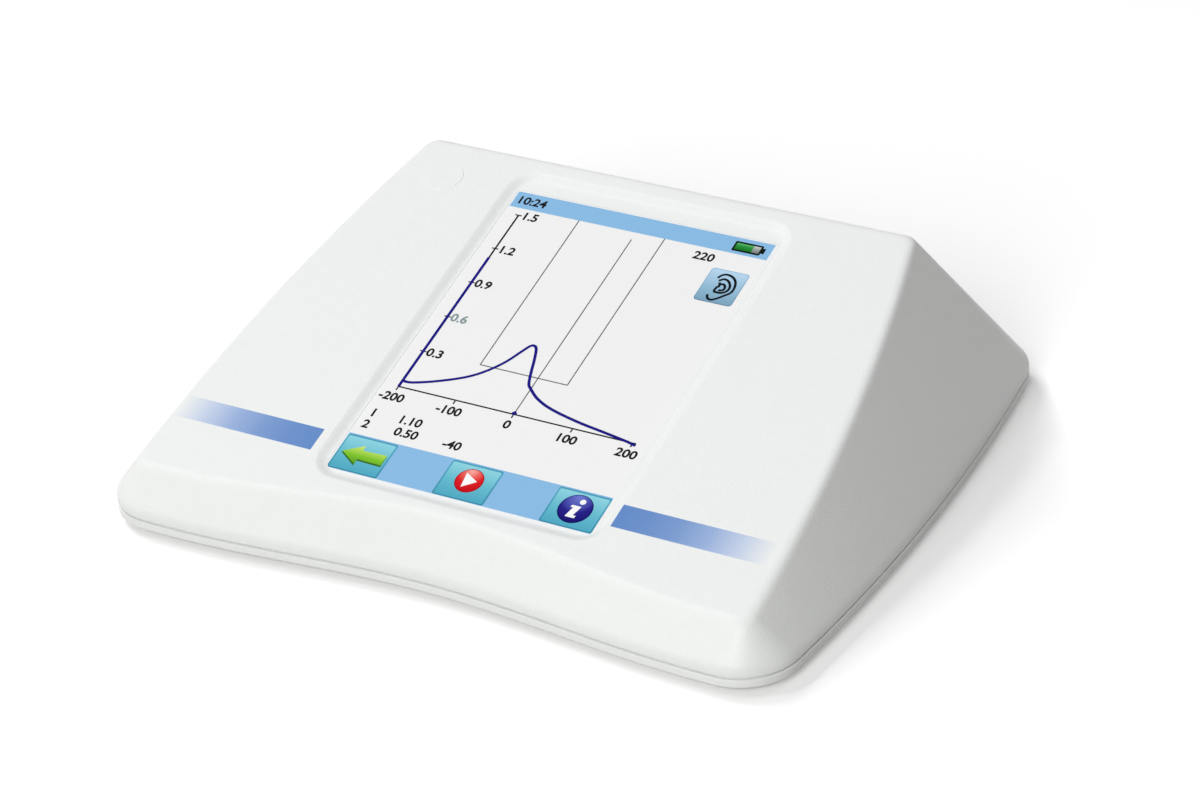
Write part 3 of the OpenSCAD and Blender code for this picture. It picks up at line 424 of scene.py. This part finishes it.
def lit(name, stops, rise=None, spot=None):
    f = Finish(name)
    x, up = deck_axes(f)
    colours = [(place, linear(*colour)) for place, colour in stops]
    if rise:
        low, high = rise
        tone = f.ramp(f.spread(up / mm - page_shift[1], low, high), colours)
    elif spot:
        spot_x, spot_y, reach = spot
        across = x / mm - page_shift[0] - spot_x
        along = up / mm - page_shift[1] - spot_y
        tone = f.ramp((across * across + along * along).sum("SQRT") / reach, colours)
    else:
        tone = f.blend(f.noise(900, 1), shade(colours[0][1], 0.985), shade(colours[0][1], 1.01))
    dim = f.blend(1 - page_glow, (0, 0, 0), tone)
    return f.surface(Base_Color=dim, Roughness=0.4, Specular_IOR_Level=page_gloss,
                     Emission_Color=tone, Emission_Strength=page_glow)


def plain(name, *colour):
    return lit(name, [(0, colour)])


def page_point(x, y, n):
    return deck_point(x + page_shift[0], y + page_shift[1], n)


def slab(outline, level):
    count = len(outline)
    low = panel_top + layer * (level - 1)
    points = [page_point(x, y, low) for x, y in outline]
    points += [page_point(x, y, low + layer) for x, y in outline]
    ends = [tuple(range(count)), tuple(range(count, 2 * count))]
    sides = [(i, (i + 1) % count, (i + 1) % count + count, i + count) for i in range(count)]
    return points, ends, sides


def flat_piece(name, outlines, level, material):
    points = []
    faces = []
    for outline in outlines:
        more, ends, sides = slab(outline, level)
        faces += [tuple(i + len(points) for i in face) for face in ends + sides]
        points += more
    return add_piece(name, points, faces, material)


def stroke_piece(name, lines, width, level, material):
    points = []
    faces = []
    for line in lines:
        left = []
        right = []
        for i, (x, y) in enumerate(line):
            x0, y0 = line[max(0, i - 1)]
            x1, y1 = line[min(len(line) - 1, i + 1)]
            reach = width / 2 / math.hypot(x1 - x0, y1 - y0)
            left.append((x - (y1 - y0) * reach, y + (x1 - x0) * reach))
            right.append((x + (y1 - y0) * reach, y - (x1 - x0) * reach))
        more, ends, sides = slab(left + right[::-1], level)
        count = len(more) // 2
        quads = [(i, i + 1, count - i - 2, count - i - 1) for i in range(len(line) - 1)]
        quads += [tuple(k + count for k in quad) for quad in quads]
        faces += [tuple(k + len(points) for k in face) for face in quads + sides]
        points += more
    return add_piece(name, points, faces, material)


def box(x0, y0, x1, y1, radius=0.0):
    if not radius:
        return [(x0, y0), (x1, y0), (x1, y1), (x0, y1)]
    corners = [(x1 - radius, y1 - radius, 0), (x0 + radius, y1 - radius, 90),
               (x0 + radius, y0 + radius, 180), (x1 - radius, y0 + radius, 270)]
    turns = [(cx, cy, math.radians(start + step * 90 / corner_steps))
             for cx, cy, start in corners for step in range(corner_steps + 1)]
    return [(cx + radius * math.cos(a), cy + radius * math.sin(a)) for cx, cy, a in turns]


def disc(cx, cy, radius, steps=64):
    turns = [2 * math.pi * i / steps for i in range(steps)]
    return [(cx + radius * math.cos(a), cy + radius * math.sin(a)) for a in turns]


def between(a, b, c, d, t):
    return 0.5 * (2 * b + (c - a) * t + (2 * a - 5 * b + 4 * c - d) * t * t
                  + (3 * b - a - 3 * c + d) * t ** 3)


def smooth(points):
    padded = [points[0], *points, points[-1]]
    curve = []
    for run in zip(padded, padded[1:], padded[2:], padded[3:]):
        for step in range(curve_steps):
            curve.append(tuple(between(*values, step / curve_steps) for values in zip(*run)))
    return curve + [points[-1]]


page_half = (43.2, 57.6)
top_bar = 51.2
low_bar = -44.0
ink = plain("numeral_ink", 26, 26, 30)
line_grey = plain("line_grey", 96, 98, 102)
trace_blue = plain("trace_blue", 30, 26, 130)
sign_white = plain("sign_white", 252, 252, 252)
flat_piece("lit_page", [box(-page_half[0], low_bar, page_half[0], top_bar)], 1,
           plain("page_white", 243, 243, 243))
flat_piece("screen_bars", [box(-page_half[0], top_bar, page_half[0], page_half[1]),
                           box(-page_half[0], -page_half[1], page_half[0], low_bar)], 1,
           plain("bar_blue", 140, 189, 230))

# The chart on the page: a pressure scale along its foot, a volume scale up the left side,
# the range of usual readings boxed in grey, and one measured trace in dark blue.
chart_x = 0.2
chart_x_step = 19.3
chart_y = -24.1
chart_y_step = 14.48
scale_x = chart_x - 2 * chart_x_step
volume_tick = 1.1
pressure_tick = 1.5
volume_top = 1.12


def chart(pressure, volume):
    return (chart_x + pressure / 100 * chart_x_step, chart_y + volume / 0.3 * chart_y_step)


scale_top = chart(-200, 1.5)
volume_marks = [chart_y + i * chart_y_step for i in range(1, 6)]
pressure_marks = [chart_x + i * chart_x_step for i in range(-2, 3)]
stroke_piece("volume_scale", [[chart(-200, volume_top), scale_top]], 0.6, 2, ink)
stroke_piece("volume_ticks", [[(scale_x - volume_tick, y), (scale_x + volume_tick, y)]
                              for y in volume_marks], 0.42, 3, ink)
stroke_piece("volume_range", [[chart(-200, 0), chart(-200, volume_top)]], 0.95, 4, trace_blue)
stroke_piece("pressure_scale", [[(scale_x, chart_y), (pressure_marks[-1] + 1, chart_y)]], 0.5, 2, ink)
stroke_piece("pressure_ticks", [[(x, chart_y), (x, chart_y - pressure_tick)]
                                for x in pressure_marks], 0.45, 3, ink)
box_left = chart(-100, 0.3)
box_right = chart(50, 0.3)
stroke_piece("usual_range", [[(box_left[0], top_bar), box_left], [box_left, box_right],
                             [box_right, (box_right[0], top_bar)],
                             [(chart_x, chart_y), (chart_x, scale_top[1])]], 0.36, 2, line_grey)
reading = [(-200, 0.05), (-185, 0.05), (-150, 0.1), (-110, 0.18), (-85, 0.26), (-65, 0.36), (-52, 0.46),
           (-44, 0.52), (-38, 0.53), (-32, 0.51), (-24, 0.43), (-16, 0.33), (-8, 0.245), (0, 0.21),
           (20, 0.15), (50, 0.1), (100, 0.055), (150, 0.025), (190, 0.0), (206, -0.015)]
stroke_piece("trace", [smooth([chart(*point) for point in reading])], 0.9, 5, trace_blue)
flat_piece("zero_mark", [[(chart_x - 0.9, chart_y + 0.4), (chart_x, chart_y - 0.5),
                          (chart_x + 0.9, chart_y + 0.4), (chart_x, chart_y + 1.3)]], 6, trace_blue)

# Plain numerals: the scales' values, the clock and the readings, cut from a sans letter
# face, fattened a little and raised by one layer.
digit_height = 2.85
digit_share = 0.68
digit_width = 1.08
digit_weight = 0.12


def numerals(name, texts, level, material):
    points = []
    faces = []
    low = panel_top + layer * (level - 1)
    high = low + layer
    for text, x, y, align in texts:
        data = bpy.data.curves.new(name, "FONT")
        data.body = text
        data.size = digit_height / digit_share
        data.offset = digit_weight
        data.align_x = align
        data.align_y = "CENTER"
        data.resolution_u = 4
        letters = bpy.data.objects.new(name, data)
        flat = bpy.data.meshes.new_from_object(letters)
        form = bmesh.new()
        form.from_mesh(flat)
        bmesh.ops.remove_doubles(form, verts=form.verts, dist=0.001)
        form.verts.index_update()
        count = len(form.verts)
        start = len(points)
        for height in (low, high):
            faces += [tuple(len(points) + v.index for v in face.verts) for face in form.faces]
            points += [page_point(x + v.co.x * digit_width, y + v.co.y, height) for v in form.verts]
        for rim in form.edges:
            if rim.is_boundary:
                a, b = [start + v.index for v in rim.verts]
                faces.append((a, b, b + count, a + count))
        form.free()
        bpy.data.objects.remove(letters)
        bpy.data.curves.remove(data)
        bpy.data.meshes.remove(flat)
    return add_piece(name, points, faces, material)


label_x = scale_x + 1.2
pressure_label_y = chart_y - 4.2
upper_line = -35.4
lower_line = -39.9
row_start = -41.4
volume_texts = [(f"{0.3 * (i + 1):.1f}", label_x, y, "LEFT") for i, y in enumerate(volume_marks)]
pale_text = volume_texts.pop(1)
pressure_texts = [(str(100 * (i - 2)), x, pressure_label_y, "CENTER")
                  for i, x in enumerate(pressure_marks)]
numerals("scale_numerals", volume_texts + pressure_texts, 3, ink)
numerals("pale_numeral", [pale_text], 3, plain("pale_ink", 138, 154, 158))
numerals("clock_numerals", [("10:24", -42.1, 54.3, "LEFT")], 2, ink)
numerals("readout_numerals", [("220", 21.2, 47.6, "LEFT"),
                              ("1", row_start, upper_line, "LEFT"), ("1.10", -31.8, upper_line, "LEFT"),
                              ("2", row_start, lower_line, "LEFT"), ("0.50", -30.6, lower_line, "LEFT"),
                              ("-40", -14.4, lower_line, "LEFT")], 2, ink)

# Signs and keys drawn on the page: the battery charge, the ear key at the upper right, and
# the back, start and help keys in the lower bar, each with a lit upper edge.
charge_low = 52.95
charge_high = 55.55
charge_mark = 37.3
charge_rise = (52.9, 55.6)
charge_dark = plain("charge_outline", 14, 24, 18)
charge_green = lit("charge_green", [(0, (22, 112, 34)), (0.55, (40, 142, 58)), (1, (92, 184, 104))],
                   charge_rise)
charge_grey = lit("charge_grey", [(0, (116, 122, 120)), (0.6, (160, 166, 164)), (1, (206, 210, 208))],
                  charge_rise)
flat_piece("charge_case", [box(31.1, 52.3, 40.2, 56.2, 0.4), box(40.2, 53.2, 41.2, 55.3)], 2, charge_dark)
flat_piece("charge_level", [box(31.75, charge_low, charge_mark, charge_high)], 3, charge_green)
flat_piece("charge_spent", [box(charge_mark, charge_low, 39.6, charge_high)], 3, charge_grey)

ear_left, ear_low, ear_right, ear_high = 29.2, 31.3, 41.5, 44.5
ear_edge = 0.3
ear_rise = (ear_low, ear_high)
ear_rim = lit("ear_key_rim", [(0, (96, 138, 168)), (1, (150, 190, 222))], ear_rise)
ear_blue = lit("ear_key_blue", [(0, (124, 164, 189)), (0.45, (150, 190, 216)), (1, (186, 218, 242))],
               ear_rise)
flat_piece("ear_key_rim", [box(ear_left, ear_low, ear_right, ear_high, 1.1)], 2, ear_rim)
flat_piece("ear_key_face", [box(ear_left + ear_edge, ear_low + ear_edge,
                                ear_right - ear_edge, ear_high - ear_edge, 0.9)], 3, ear_blue)
ear_lines = [
    [(32.6, 40.9), (33.4, 42.2), (34.8, 42.8), (36.8, 42.3), (38.4, 40.8), (39.2, 38.5), (39.0, 36.4),
     (37.6, 34.8), (36.1, 33.3), (34.7, 32.4), (33.4, 32.7), (32.6, 34.1)],
    [(33.4, 39.9), (34.7, 40.9), (36.4, 40.4), (37.7, 38.6), (37.6, 36.7), (36.1, 35.6), (33.8, 35.6)],
    [(34.5, 38.8), (35.6, 38.9), (36.4, 38.0), (36.3, 36.8), (35.0, 36.4)],
    [(33.8, 35.7), (34.0, 37.3), (34.5, 38.0), (34.0, 39.4)]]
ear_width = 0.78
stroke_piece("ear_sign", [smooth(line) for line in ear_lines], ear_width, 4, plain("ear_ink", 18, 22, 30))

key_low = -57.5
key_high = -44.4
key_half = 8.35
key_middles = (-34.75, 0.2, 34.9)
key_rise = (key_low, key_high)
key_rim_teal = lit("key_rim_teal", [(0, (58, 138, 164)), (0.9, (84, 168, 196)), (1, (74, 156, 186))],
                   key_rise)
key_teal = lit("key_teal", [(0, (78, 168, 194)), (0.5, (104, 188, 208)), (0.9, (140, 210, 224)),
                            (1, (152, 216, 228))], key_rise)
flat_piece("key_rims", [box(middle - key_half, key_low, middle + key_half, key_high, 0.7)
                        for middle in key_middles], 2, key_rim_teal)
flat_piece("key_faces", [box(middle - key_half + 0.5, key_low + 0.4,
                             middle + key_half - 0.5, key_high - 0.6, 0.5)
                         for middle in key_middles], 3, key_teal)


def arrow(grow, drop):
    return [(-41.7 - grow, -51.0 - drop), (-35.6, -47.3 + grow - drop), (-35.6, -49.2 + grow - drop),
            (-27.5 + grow, -48.9 + grow - drop), (-27.5 + grow, -53.0 - grow - drop),
            (-35.6, -52.8 - grow - drop), (-35.6, -54.7 - grow - drop)]


arrow_green = lit("arrow_green", [(0, (84, 150, 36)), (0.45, (128, 196, 48)), (0.8, (186, 224, 96)),
                                  (1, (214, 236, 150))], (-54.6, -47.4))
flat_piece("back_arrow_shade", [arrow(0.0, 0.35)], 4, plain("arrow_shade", 58, 112, 34))
flat_piece("back_arrow", [arrow(-0.15, -0.1)], 5, arrow_green)

start_red = lit("start_red", [(0, (250, 176, 168)), (0.3, (240, 104, 98)), (0.6, (222, 34, 40)),
                              (1, (198, 14, 26))], spot=(-0.4, -46.9, 7.4))
flat_piece("start_rim", [disc(0.3, -50.3, 4.35)], 4, plain("start_rim", 168, 18, 28))
flat_piece("start_disc", [disc(0.3, -50.25, 4.05)], 5, start_red)
flat_piece("start_sign", [[(-1.75, -47.75), (2.7, -50.1), (-1.05, -53.05)]], 6, sign_white)

help_blue = lit("help_blue", [(0, (112, 122, 206)), (0.4, (74, 78, 172)), (0.62, (40, 34, 138)),
                              (1, (26, 20, 110))], spot=(34.0, -46.8, 8.6))
flat_piece("help_rim", [disc(34.7, -50.7, 5.15)], 4, plain("help_rim", 22, 18, 96))
flat_piece("help_disc", [disc(34.7, -50.65, 4.85)], 5, help_blue)
flat_piece("help_sign", [disc(35.7, -47.9, 0.9, 32),
                         [(33.2, -49.6), (36.1, -49.6), (35.1, -53.0), (36.1, -53.0), (35.9, -53.9),
                          (33.0, -53.9), (33.2, -53.0), (33.9, -50.4), (33.0, -50.4)]], 6, sign_white)

# The rest of the screen's stack, out of sight under the touch panel: a soft black foam
# gasket, a pressed steel display frame, the grey display glass and the white film that
# spreads the lamp light behind it.
def porous_stock(name, dark, light, rough, scale, depth):
    f = Finish(name)
    pores = f.noise(scale, 4, 0.7)
    tone = f.blend(pores.above(0.5, 0.3), linear(*dark), linear(*light))
    return f.surface(Base_Color=tone, Roughness=rough, Specular_IOR_Level=0.25,
                     Normal=f.bump(pores, 0.5, depth))


def metal_stock(name, colour, rough, stretch=None, scale=900):
    f = Finish(name)
    lines = f.noise(scale, 3, 0.6, stretch)
    cloud = f.noise(60, 2)
    tone = f.blend(cloud, shade(linear(*colour), 0.92), shade(linear(*colour), 1.08))
    return f.surface(Base_Color=tone, Metallic=1.0, Roughness=rough - 0.07 + 0.14 * lines,
                     Normal=f.bump(lines, 0.15, fine_depth))


dress(porous_stock("gasket_foam", (20, 20, 21), (44, 44, 46), 0.94, 1500, 0.2 * mm), "screen_gasket")
dress(metal_stock("pressed_steel", (186, 188, 190), 0.36, (0.1, 1, 1)), "display_frame")
dress(smooth_stock("display_glass_grey", (66, 70, 74), 0.12, 0.03), "display_glass")
dress(smooth_stock("backlight_film", (236, 238, 236), 0.5, 0.02), "backlight")

# The circuit boards: glass fibre under a green mask, with the copper tracks raised a little
# below it and tinned holes between them. The main board hangs from the deck on four screws,
# the small one carries the power inlet and the data port.
track_pitch = 1.3 * mm
track_wave = 2 * math.pi / track_pitch
track_edge = 0.78
hole_share = 0.09


def board_stock(name, sloped):
    f = Finish(name)
    x, along = deck_axes(f) if sloped else f.axes(f.place())[:2]
    weave = f.noise(1400, 2)
    turned_share = f.noise(42, 1).above(0.5, 0.02)
    rows = (along * track_wave).wave().above(track_edge, 0.12)
    columns = (x * track_wave).wave().above(track_edge, 0.12)
    tracks = turned_share * rows + (1 - turned_share) * columns
    cells = f.node("ShaderNodeTexVoronoi", inputs={"Vector": f.place(), "Scale": 190})
    holes = cells.below(hole_share, 0.02)
    mask = f.blend(weave, linear(22, 88, 54), linear(34, 112, 68))
    mask = f.blend(tracks * 0.7, mask, linear(56, 146, 92))
    tone = f.blend(holes, mask, linear(206, 202, 188))
    return f.surface(Base_Color=tone, Metallic=holes, Roughness=0.3 + 0.12 * weave,
                     Normal=f.bump(tracks + holes, 0.3, 0.04 * mm))


dress(board_stock("main_board_green", True), "main_board")
dress(board_stock("connector_board_green", False), "connector_board")
dress(porous_stock("chip_epoxy", (30, 30, 32), (42, 42, 44), 0.62, 2600, fine_depth), "processor_chips")
dress(smooth_stock("header_nylon", (226, 220, 200), 0.46), "board_headers")
dress(smooth_stock("buzzer_black", (32, 32, 34), 0.5), "buzzer")
wire_pitch = 1 * mm
ribbon = Finish("ribbon_amber")
wires = (ribbon.axes(ribbon.place())[0] * (2 * math.pi / wire_pitch)).wave().above(0.55, 0.2)
ribbon_tone = ribbon.blend(wires, linear(198, 134, 58), linear(150, 88, 40))
dress(ribbon.surface(Base_Color=ribbon_tone, Roughness=0.26 + 0.06 * ribbon.noise(200),
                     Normal=ribbon.bump(wires, 0.2, fine_depth)), "display_ribbon")

# Screws throughout are zinc plated steel with crossed slots, turned from below, and the
# case stands on four pressed-in grey rubber feet.
dress(metal_stock("zinc_plate", (188, 191, 194), 0.34), "board_screws", "connector_screws", "case_screws",
      "door_screw", "bracket_screws", "motor_screws")
dress(porous_stock("foot_rubber", (66, 66, 68), (86, 86, 88), 0.86, 1100, 0.08 * mm), "rubber_feet")

# Four cylindrical battery cells in a green sleeve, nickel at both ends, two and two in line
# between sprung nickel contacts.
cell_length = 49.6 * mm
cell_starts = (-49.65 * mm, 0.05 * mm)
cap_length = 1.2 * mm
edge = 0.05 * mm
sleeve = Finish("cell_sleeve")
sleeve_x = sleeve.axes(sleeve.place())[0]
bare = 0.0
for start in cell_starts:
    end = start + cell_length
    foot = sleeve_x.above(start - edge, edge) * sleeve_x.below(start + 3 * edge, edge)
    cap = sleeve_x.above(end - cap_length, edge) * sleeve_x.below(end + edge, edge)
    bare = foot + cap + bare
sleeve_tone = sleeve.blend(sleeve.noise(70), linear(58, 108, 82), linear(70, 122, 96))
dress(sleeve.surface(Base_Color=sleeve.blend(bare, sleeve_tone, linear(198, 198, 194)), Metallic=bare,
                     Roughness=0.3 + 0.1 * sleeve.noise(500)), "battery_cells")
dress(metal_stock("contact_nickel", (204, 202, 192), 0.26, (1, 1, 0.1)), "battery_contacts")

# The power switch at the back: a black nylon body snapped into the socket plate and a
# rocker with plain raised marks, a bar for on and a ring for off, moulded in white.
dress(porous_stock("switch_nylon", (30, 31, 33), (40, 41, 43), 0.48, 1900, 0.04 * mm),
      "switch_body", "power_rocker")
rocker_pivot = Vector((-50, 74, 19))
rocker_rest = math.radians(-8)
rocker_half = 7.4
rocker_ridge = 1.9
rocker_edge = 2.8
rocker_rise = math.atan2(rocker_edge - rocker_ridge, rocker_half)
mark_height = 0.12
mark_at = 4.3
bar_half = (0.32, 1.45)
ring_outer = (1.15, 1.5)
ring_inner = (0.6, 0.95)
ring_steps = 40


def rocker_point(x, along, n):
    side = 1 if along > 0 else -1
    y = rocker_ridge + abs(along) * math.sin(rocker_rise) + n * math.cos(rocker_rise)
    z = along * math.cos(rocker_rise) - side * n * math.sin(rocker_rise)
    turned = (y * math.cos(rocker_rest) - z * math.sin(rocker_rest),
              y * math.sin(rocker_rest) + z * math.cos(rocker_rest))
    return (rocker_pivot + Vector((x, *turned))) * mm


mark_white = smooth_stock("mark_white", (232, 232, 230), 0.5)
bar_corners = [(i * bar_half[0], mark_at + j * bar_half[1])
               for i, j in ((-1, -1), (1, -1), (1, 1), (-1, 1))]
bar_points = [rocker_point(x, s, n) for n in (-mark_height, mark_height) for x, s in bar_corners]
bar_faces = [(0, 1, 2, 3), (4, 5, 6, 7), *((i, (i + 1) % 4, (i + 1) % 4 + 4, i + 4) for i in range(4))]
add_piece("switch_bar", bar_points, bar_faces, mark_white, "rocker")
ring_turns = [2 * math.pi * i / ring_steps for i in range(ring_steps)]
ring_rims = ((ring_outer, -mark_height), (ring_outer, mark_height),
             (ring_inner, mark_height), (ring_inner, -mark_height))
ring_points = [rocker_point(half_x * math.cos(a), half_s * math.sin(a) - mark_at, n)
               for (half_x, half_s), n in ring_rims for a in ring_turns]
last_rim = (len(ring_rims) - 1) * ring_steps
closing_faces = [(last_rim + i, last_rim + (i + 1) % ring_steps, (i + 1) % ring_steps, i)
                 for i in range(ring_steps)]
add_piece("switch_ring", ring_points, [*ring_faces(len(ring_rims), ring_steps), *closing_faces],
          mark_white, "rocker")

# The sockets in the plate: a power inlet with its steel pin, a data port with a plated
# shell and a white tongue, an earphone jack with a nickel nose and nut, the grey probe
# socket with gilt contacts, and the nickel nipple of the air line.
plate_face = 74.5 * mm
inset_edge = 0.1 * mm
nylon_black = (34, 35, 37)
pin_steel = (206, 206, 204)
shell_plate = (196, 198, 200)
tongue_white = (236, 236, 232)
nickel_grey = (206, 205, 198)


def near_axis(f, x_at, z_at, radius):
    x, _, z = f.axes(f.place())
    across = x - x_at * mm
    along = z - z_at * mm
    return (across * across + along * along).sum("SQRT").below(radius * mm, inset_edge)


def within_box(f, x_at, z_at, half_x, half_z):
    x, _, z = f.axes(f.place())
    return ((x - x_at * mm).size().below(half_x * mm, inset_edge)
            * (z - z_at * mm).size().below(half_z * mm, inset_edge))


def beyond_plate(f):
    return f.axes(f.place())[1].above(plate_face + inset_edge, inset_edge)


def inset_stock(f, within, outer, inner, metal_share, rough):
    cloud = f.noise(400, 3)
    tone = f.blend(cloud, shade(linear(*outer), 0.95), shade(linear(*outer), 1.06))
    return f.surface(Base_Color=f.blend(within, tone, linear(*inner)), Metallic=metal_share,
                     Roughness=rough - 0.05 + 0.1 * cloud, Normal=f.bump(cloud, 0.15, 0.04 * mm))


inlet = Finish("inlet_black")
pin = near_axis(inlet, -28, 15.1, 1.3)
dress(inset_stock(inlet, pin, nylon_black, pin_steel, pin, 0.42), "power_inlet")
port = Finish("port_shell")
tongue = within_box(port, -8, 15.1, 3.2, 2.0)
dress(inset_stock(port, tongue, shell_plate, tongue_white, 1 - tongue, 0.28), "usb_port")
jack = Finish("jack_black")
nose = beyond_plate(jack)
dress(inset_stock(jack, nose, nylon_black, nickel_grey, nose, 0.36), "earphone_jack")
dress(metal_stock("turned_nickel", nickel_grey, 0.22, (1, 0.2, 1)), "jack_nut", "air_nipple")
dress(porous_stock("socket_grey", (88, 90, 92), (100, 102, 104), 0.46, 1700, 0.04 * mm), "probe_socket")
dress(metal_stock("gilt", (214, 172, 92), 0.2), "probe_contacts")

# The air pump: a gear motor turns a six-start lead screw through a brass pinion and an
# acetal gear, and the brass nut on it pushes the piston along the cylinder. Bracket,
# cylinder, cap and manifold are machined aluminium.
pump_axis = (38 * mm, 24 * mm)
thread_pitch = 1 * mm
thread_starts = 6
motor_cap_x = -80.5 * mm
tool_marks = 1300


def around(first, second, centre):
    return (second - centre[1]).sum("ARCTAN2", first - centre[0])


dress(metal_stock("milled_aluminium", (186, 189, 193), 0.34, (1, 0.15, 1), tool_marks),
      "pump_bracket", "manifold_block", "cylinder_cap")
dress(metal_stock("turned_aluminium", (190, 193, 196), 0.28, (0.15, 1, 1), tool_marks), "pump_cylinder")
dress(metal_stock("ground_steel", (198, 200, 202), 0.16, (1, 0.2, 0.2)), "motor_shaft", "guide_rod",
      "piston_rod", "valve_plunger")
dress(metal_stock("turned_brass", (204, 168, 92), 0.3), "motor_pinion", "screw_bushings", "drive_nut")
dress(smooth_stock("acetal_white", (232, 231, 224), 0.42), "screw_gear", "pump_piston")
dress(porous_stock("seal_rubber", (24, 24, 25), (36, 36, 38), 0.7, 1200, 0.05 * mm), "piston_seal")
motor_can = Finish("motor_can")
can_x = motor_can.axes(motor_can.place())[0]
can_plain = can_x.above(motor_cap_x, edge)
can_lines = motor_can.noise(1000, 3, 0.6, (0.1, 1, 1))
can_tone = motor_can.blend(can_plain, linear(38, 38, 40), linear(188, 190, 192))
dress(motor_can.surface(Base_Color=can_tone, Metallic=can_plain, Roughness=0.26 + 0.14 * can_lines,
                        Normal=motor_can.bump(can_lines, 0.15, fine_depth)), "pump_motor")
# The lead screw is plain ground steel. Its thread is painted darker in the grooves than on the crests,
# which is painted shade in the grooves.
lead = Finish("lead_screw_steel")
lead_x, lead_y, lead_z = lead.axes(lead.place())
thread = (around(lead_y, lead_z, pump_axis) * thread_starts
          + lead_x * (2 * math.pi / thread_pitch)).wave()
thread_groove_shade_tone = lead.blend(thread, linear(150, 152, 154), linear(202, 204, 206))
dress(lead.surface(Base_Color=thread_groove_shade_tone, Metallic=1.0, Roughness=0.24 + 0.1 * lead.noise(700),
                   Normal=lead.bump(thread, 0.8, 0.3 * mm)), "lead_screw")

# The bleed valve on the manifold: a black coil body, a steel plunger that lifts one
# millimetre, and its return spring, next to the white pressure sensor. Soft clear tubes
# join the cylinder, the manifold and the nipple.
valve_axis = (57 * mm, 38 * mm)
spring_pitch = 1.1 * mm
dress(smooth_stock("valve_black", (34, 34, 36), 0.44), "valve_body")
dress(smooth_stock("sensor_white", (232, 232, 226), 0.4), "pressure_sensor")
# The spring wire is bright steel. The near-black bands between its turns are painted shade in the gaps.
coil = Finish("spring_wire")
coil_x, coil_y, coil_z = coil.axes(coil.place())
winding = (around(coil_x, coil_y, valve_axis) + coil_z * (2 * math.pi / spring_pitch)).wave()
coil_gap_shade_tone = coil.blend(winding.above(0.35, 0.3), linear(40, 40, 42), linear(196, 197, 198))
dress(coil.surface(Base_Color=coil_gap_shade_tone, Metallic=1.0, Roughness=0.22 + 0.1 * coil.noise(700),
                   Normal=coil.bump(winding, 0.9, 0.4 * mm)), "valve_spring")
dress(smooth_stock("clear_silicone", (220, 226, 228), 0.26, 0.03, Alpha=0.6), "pump_tube", "probe_tube")
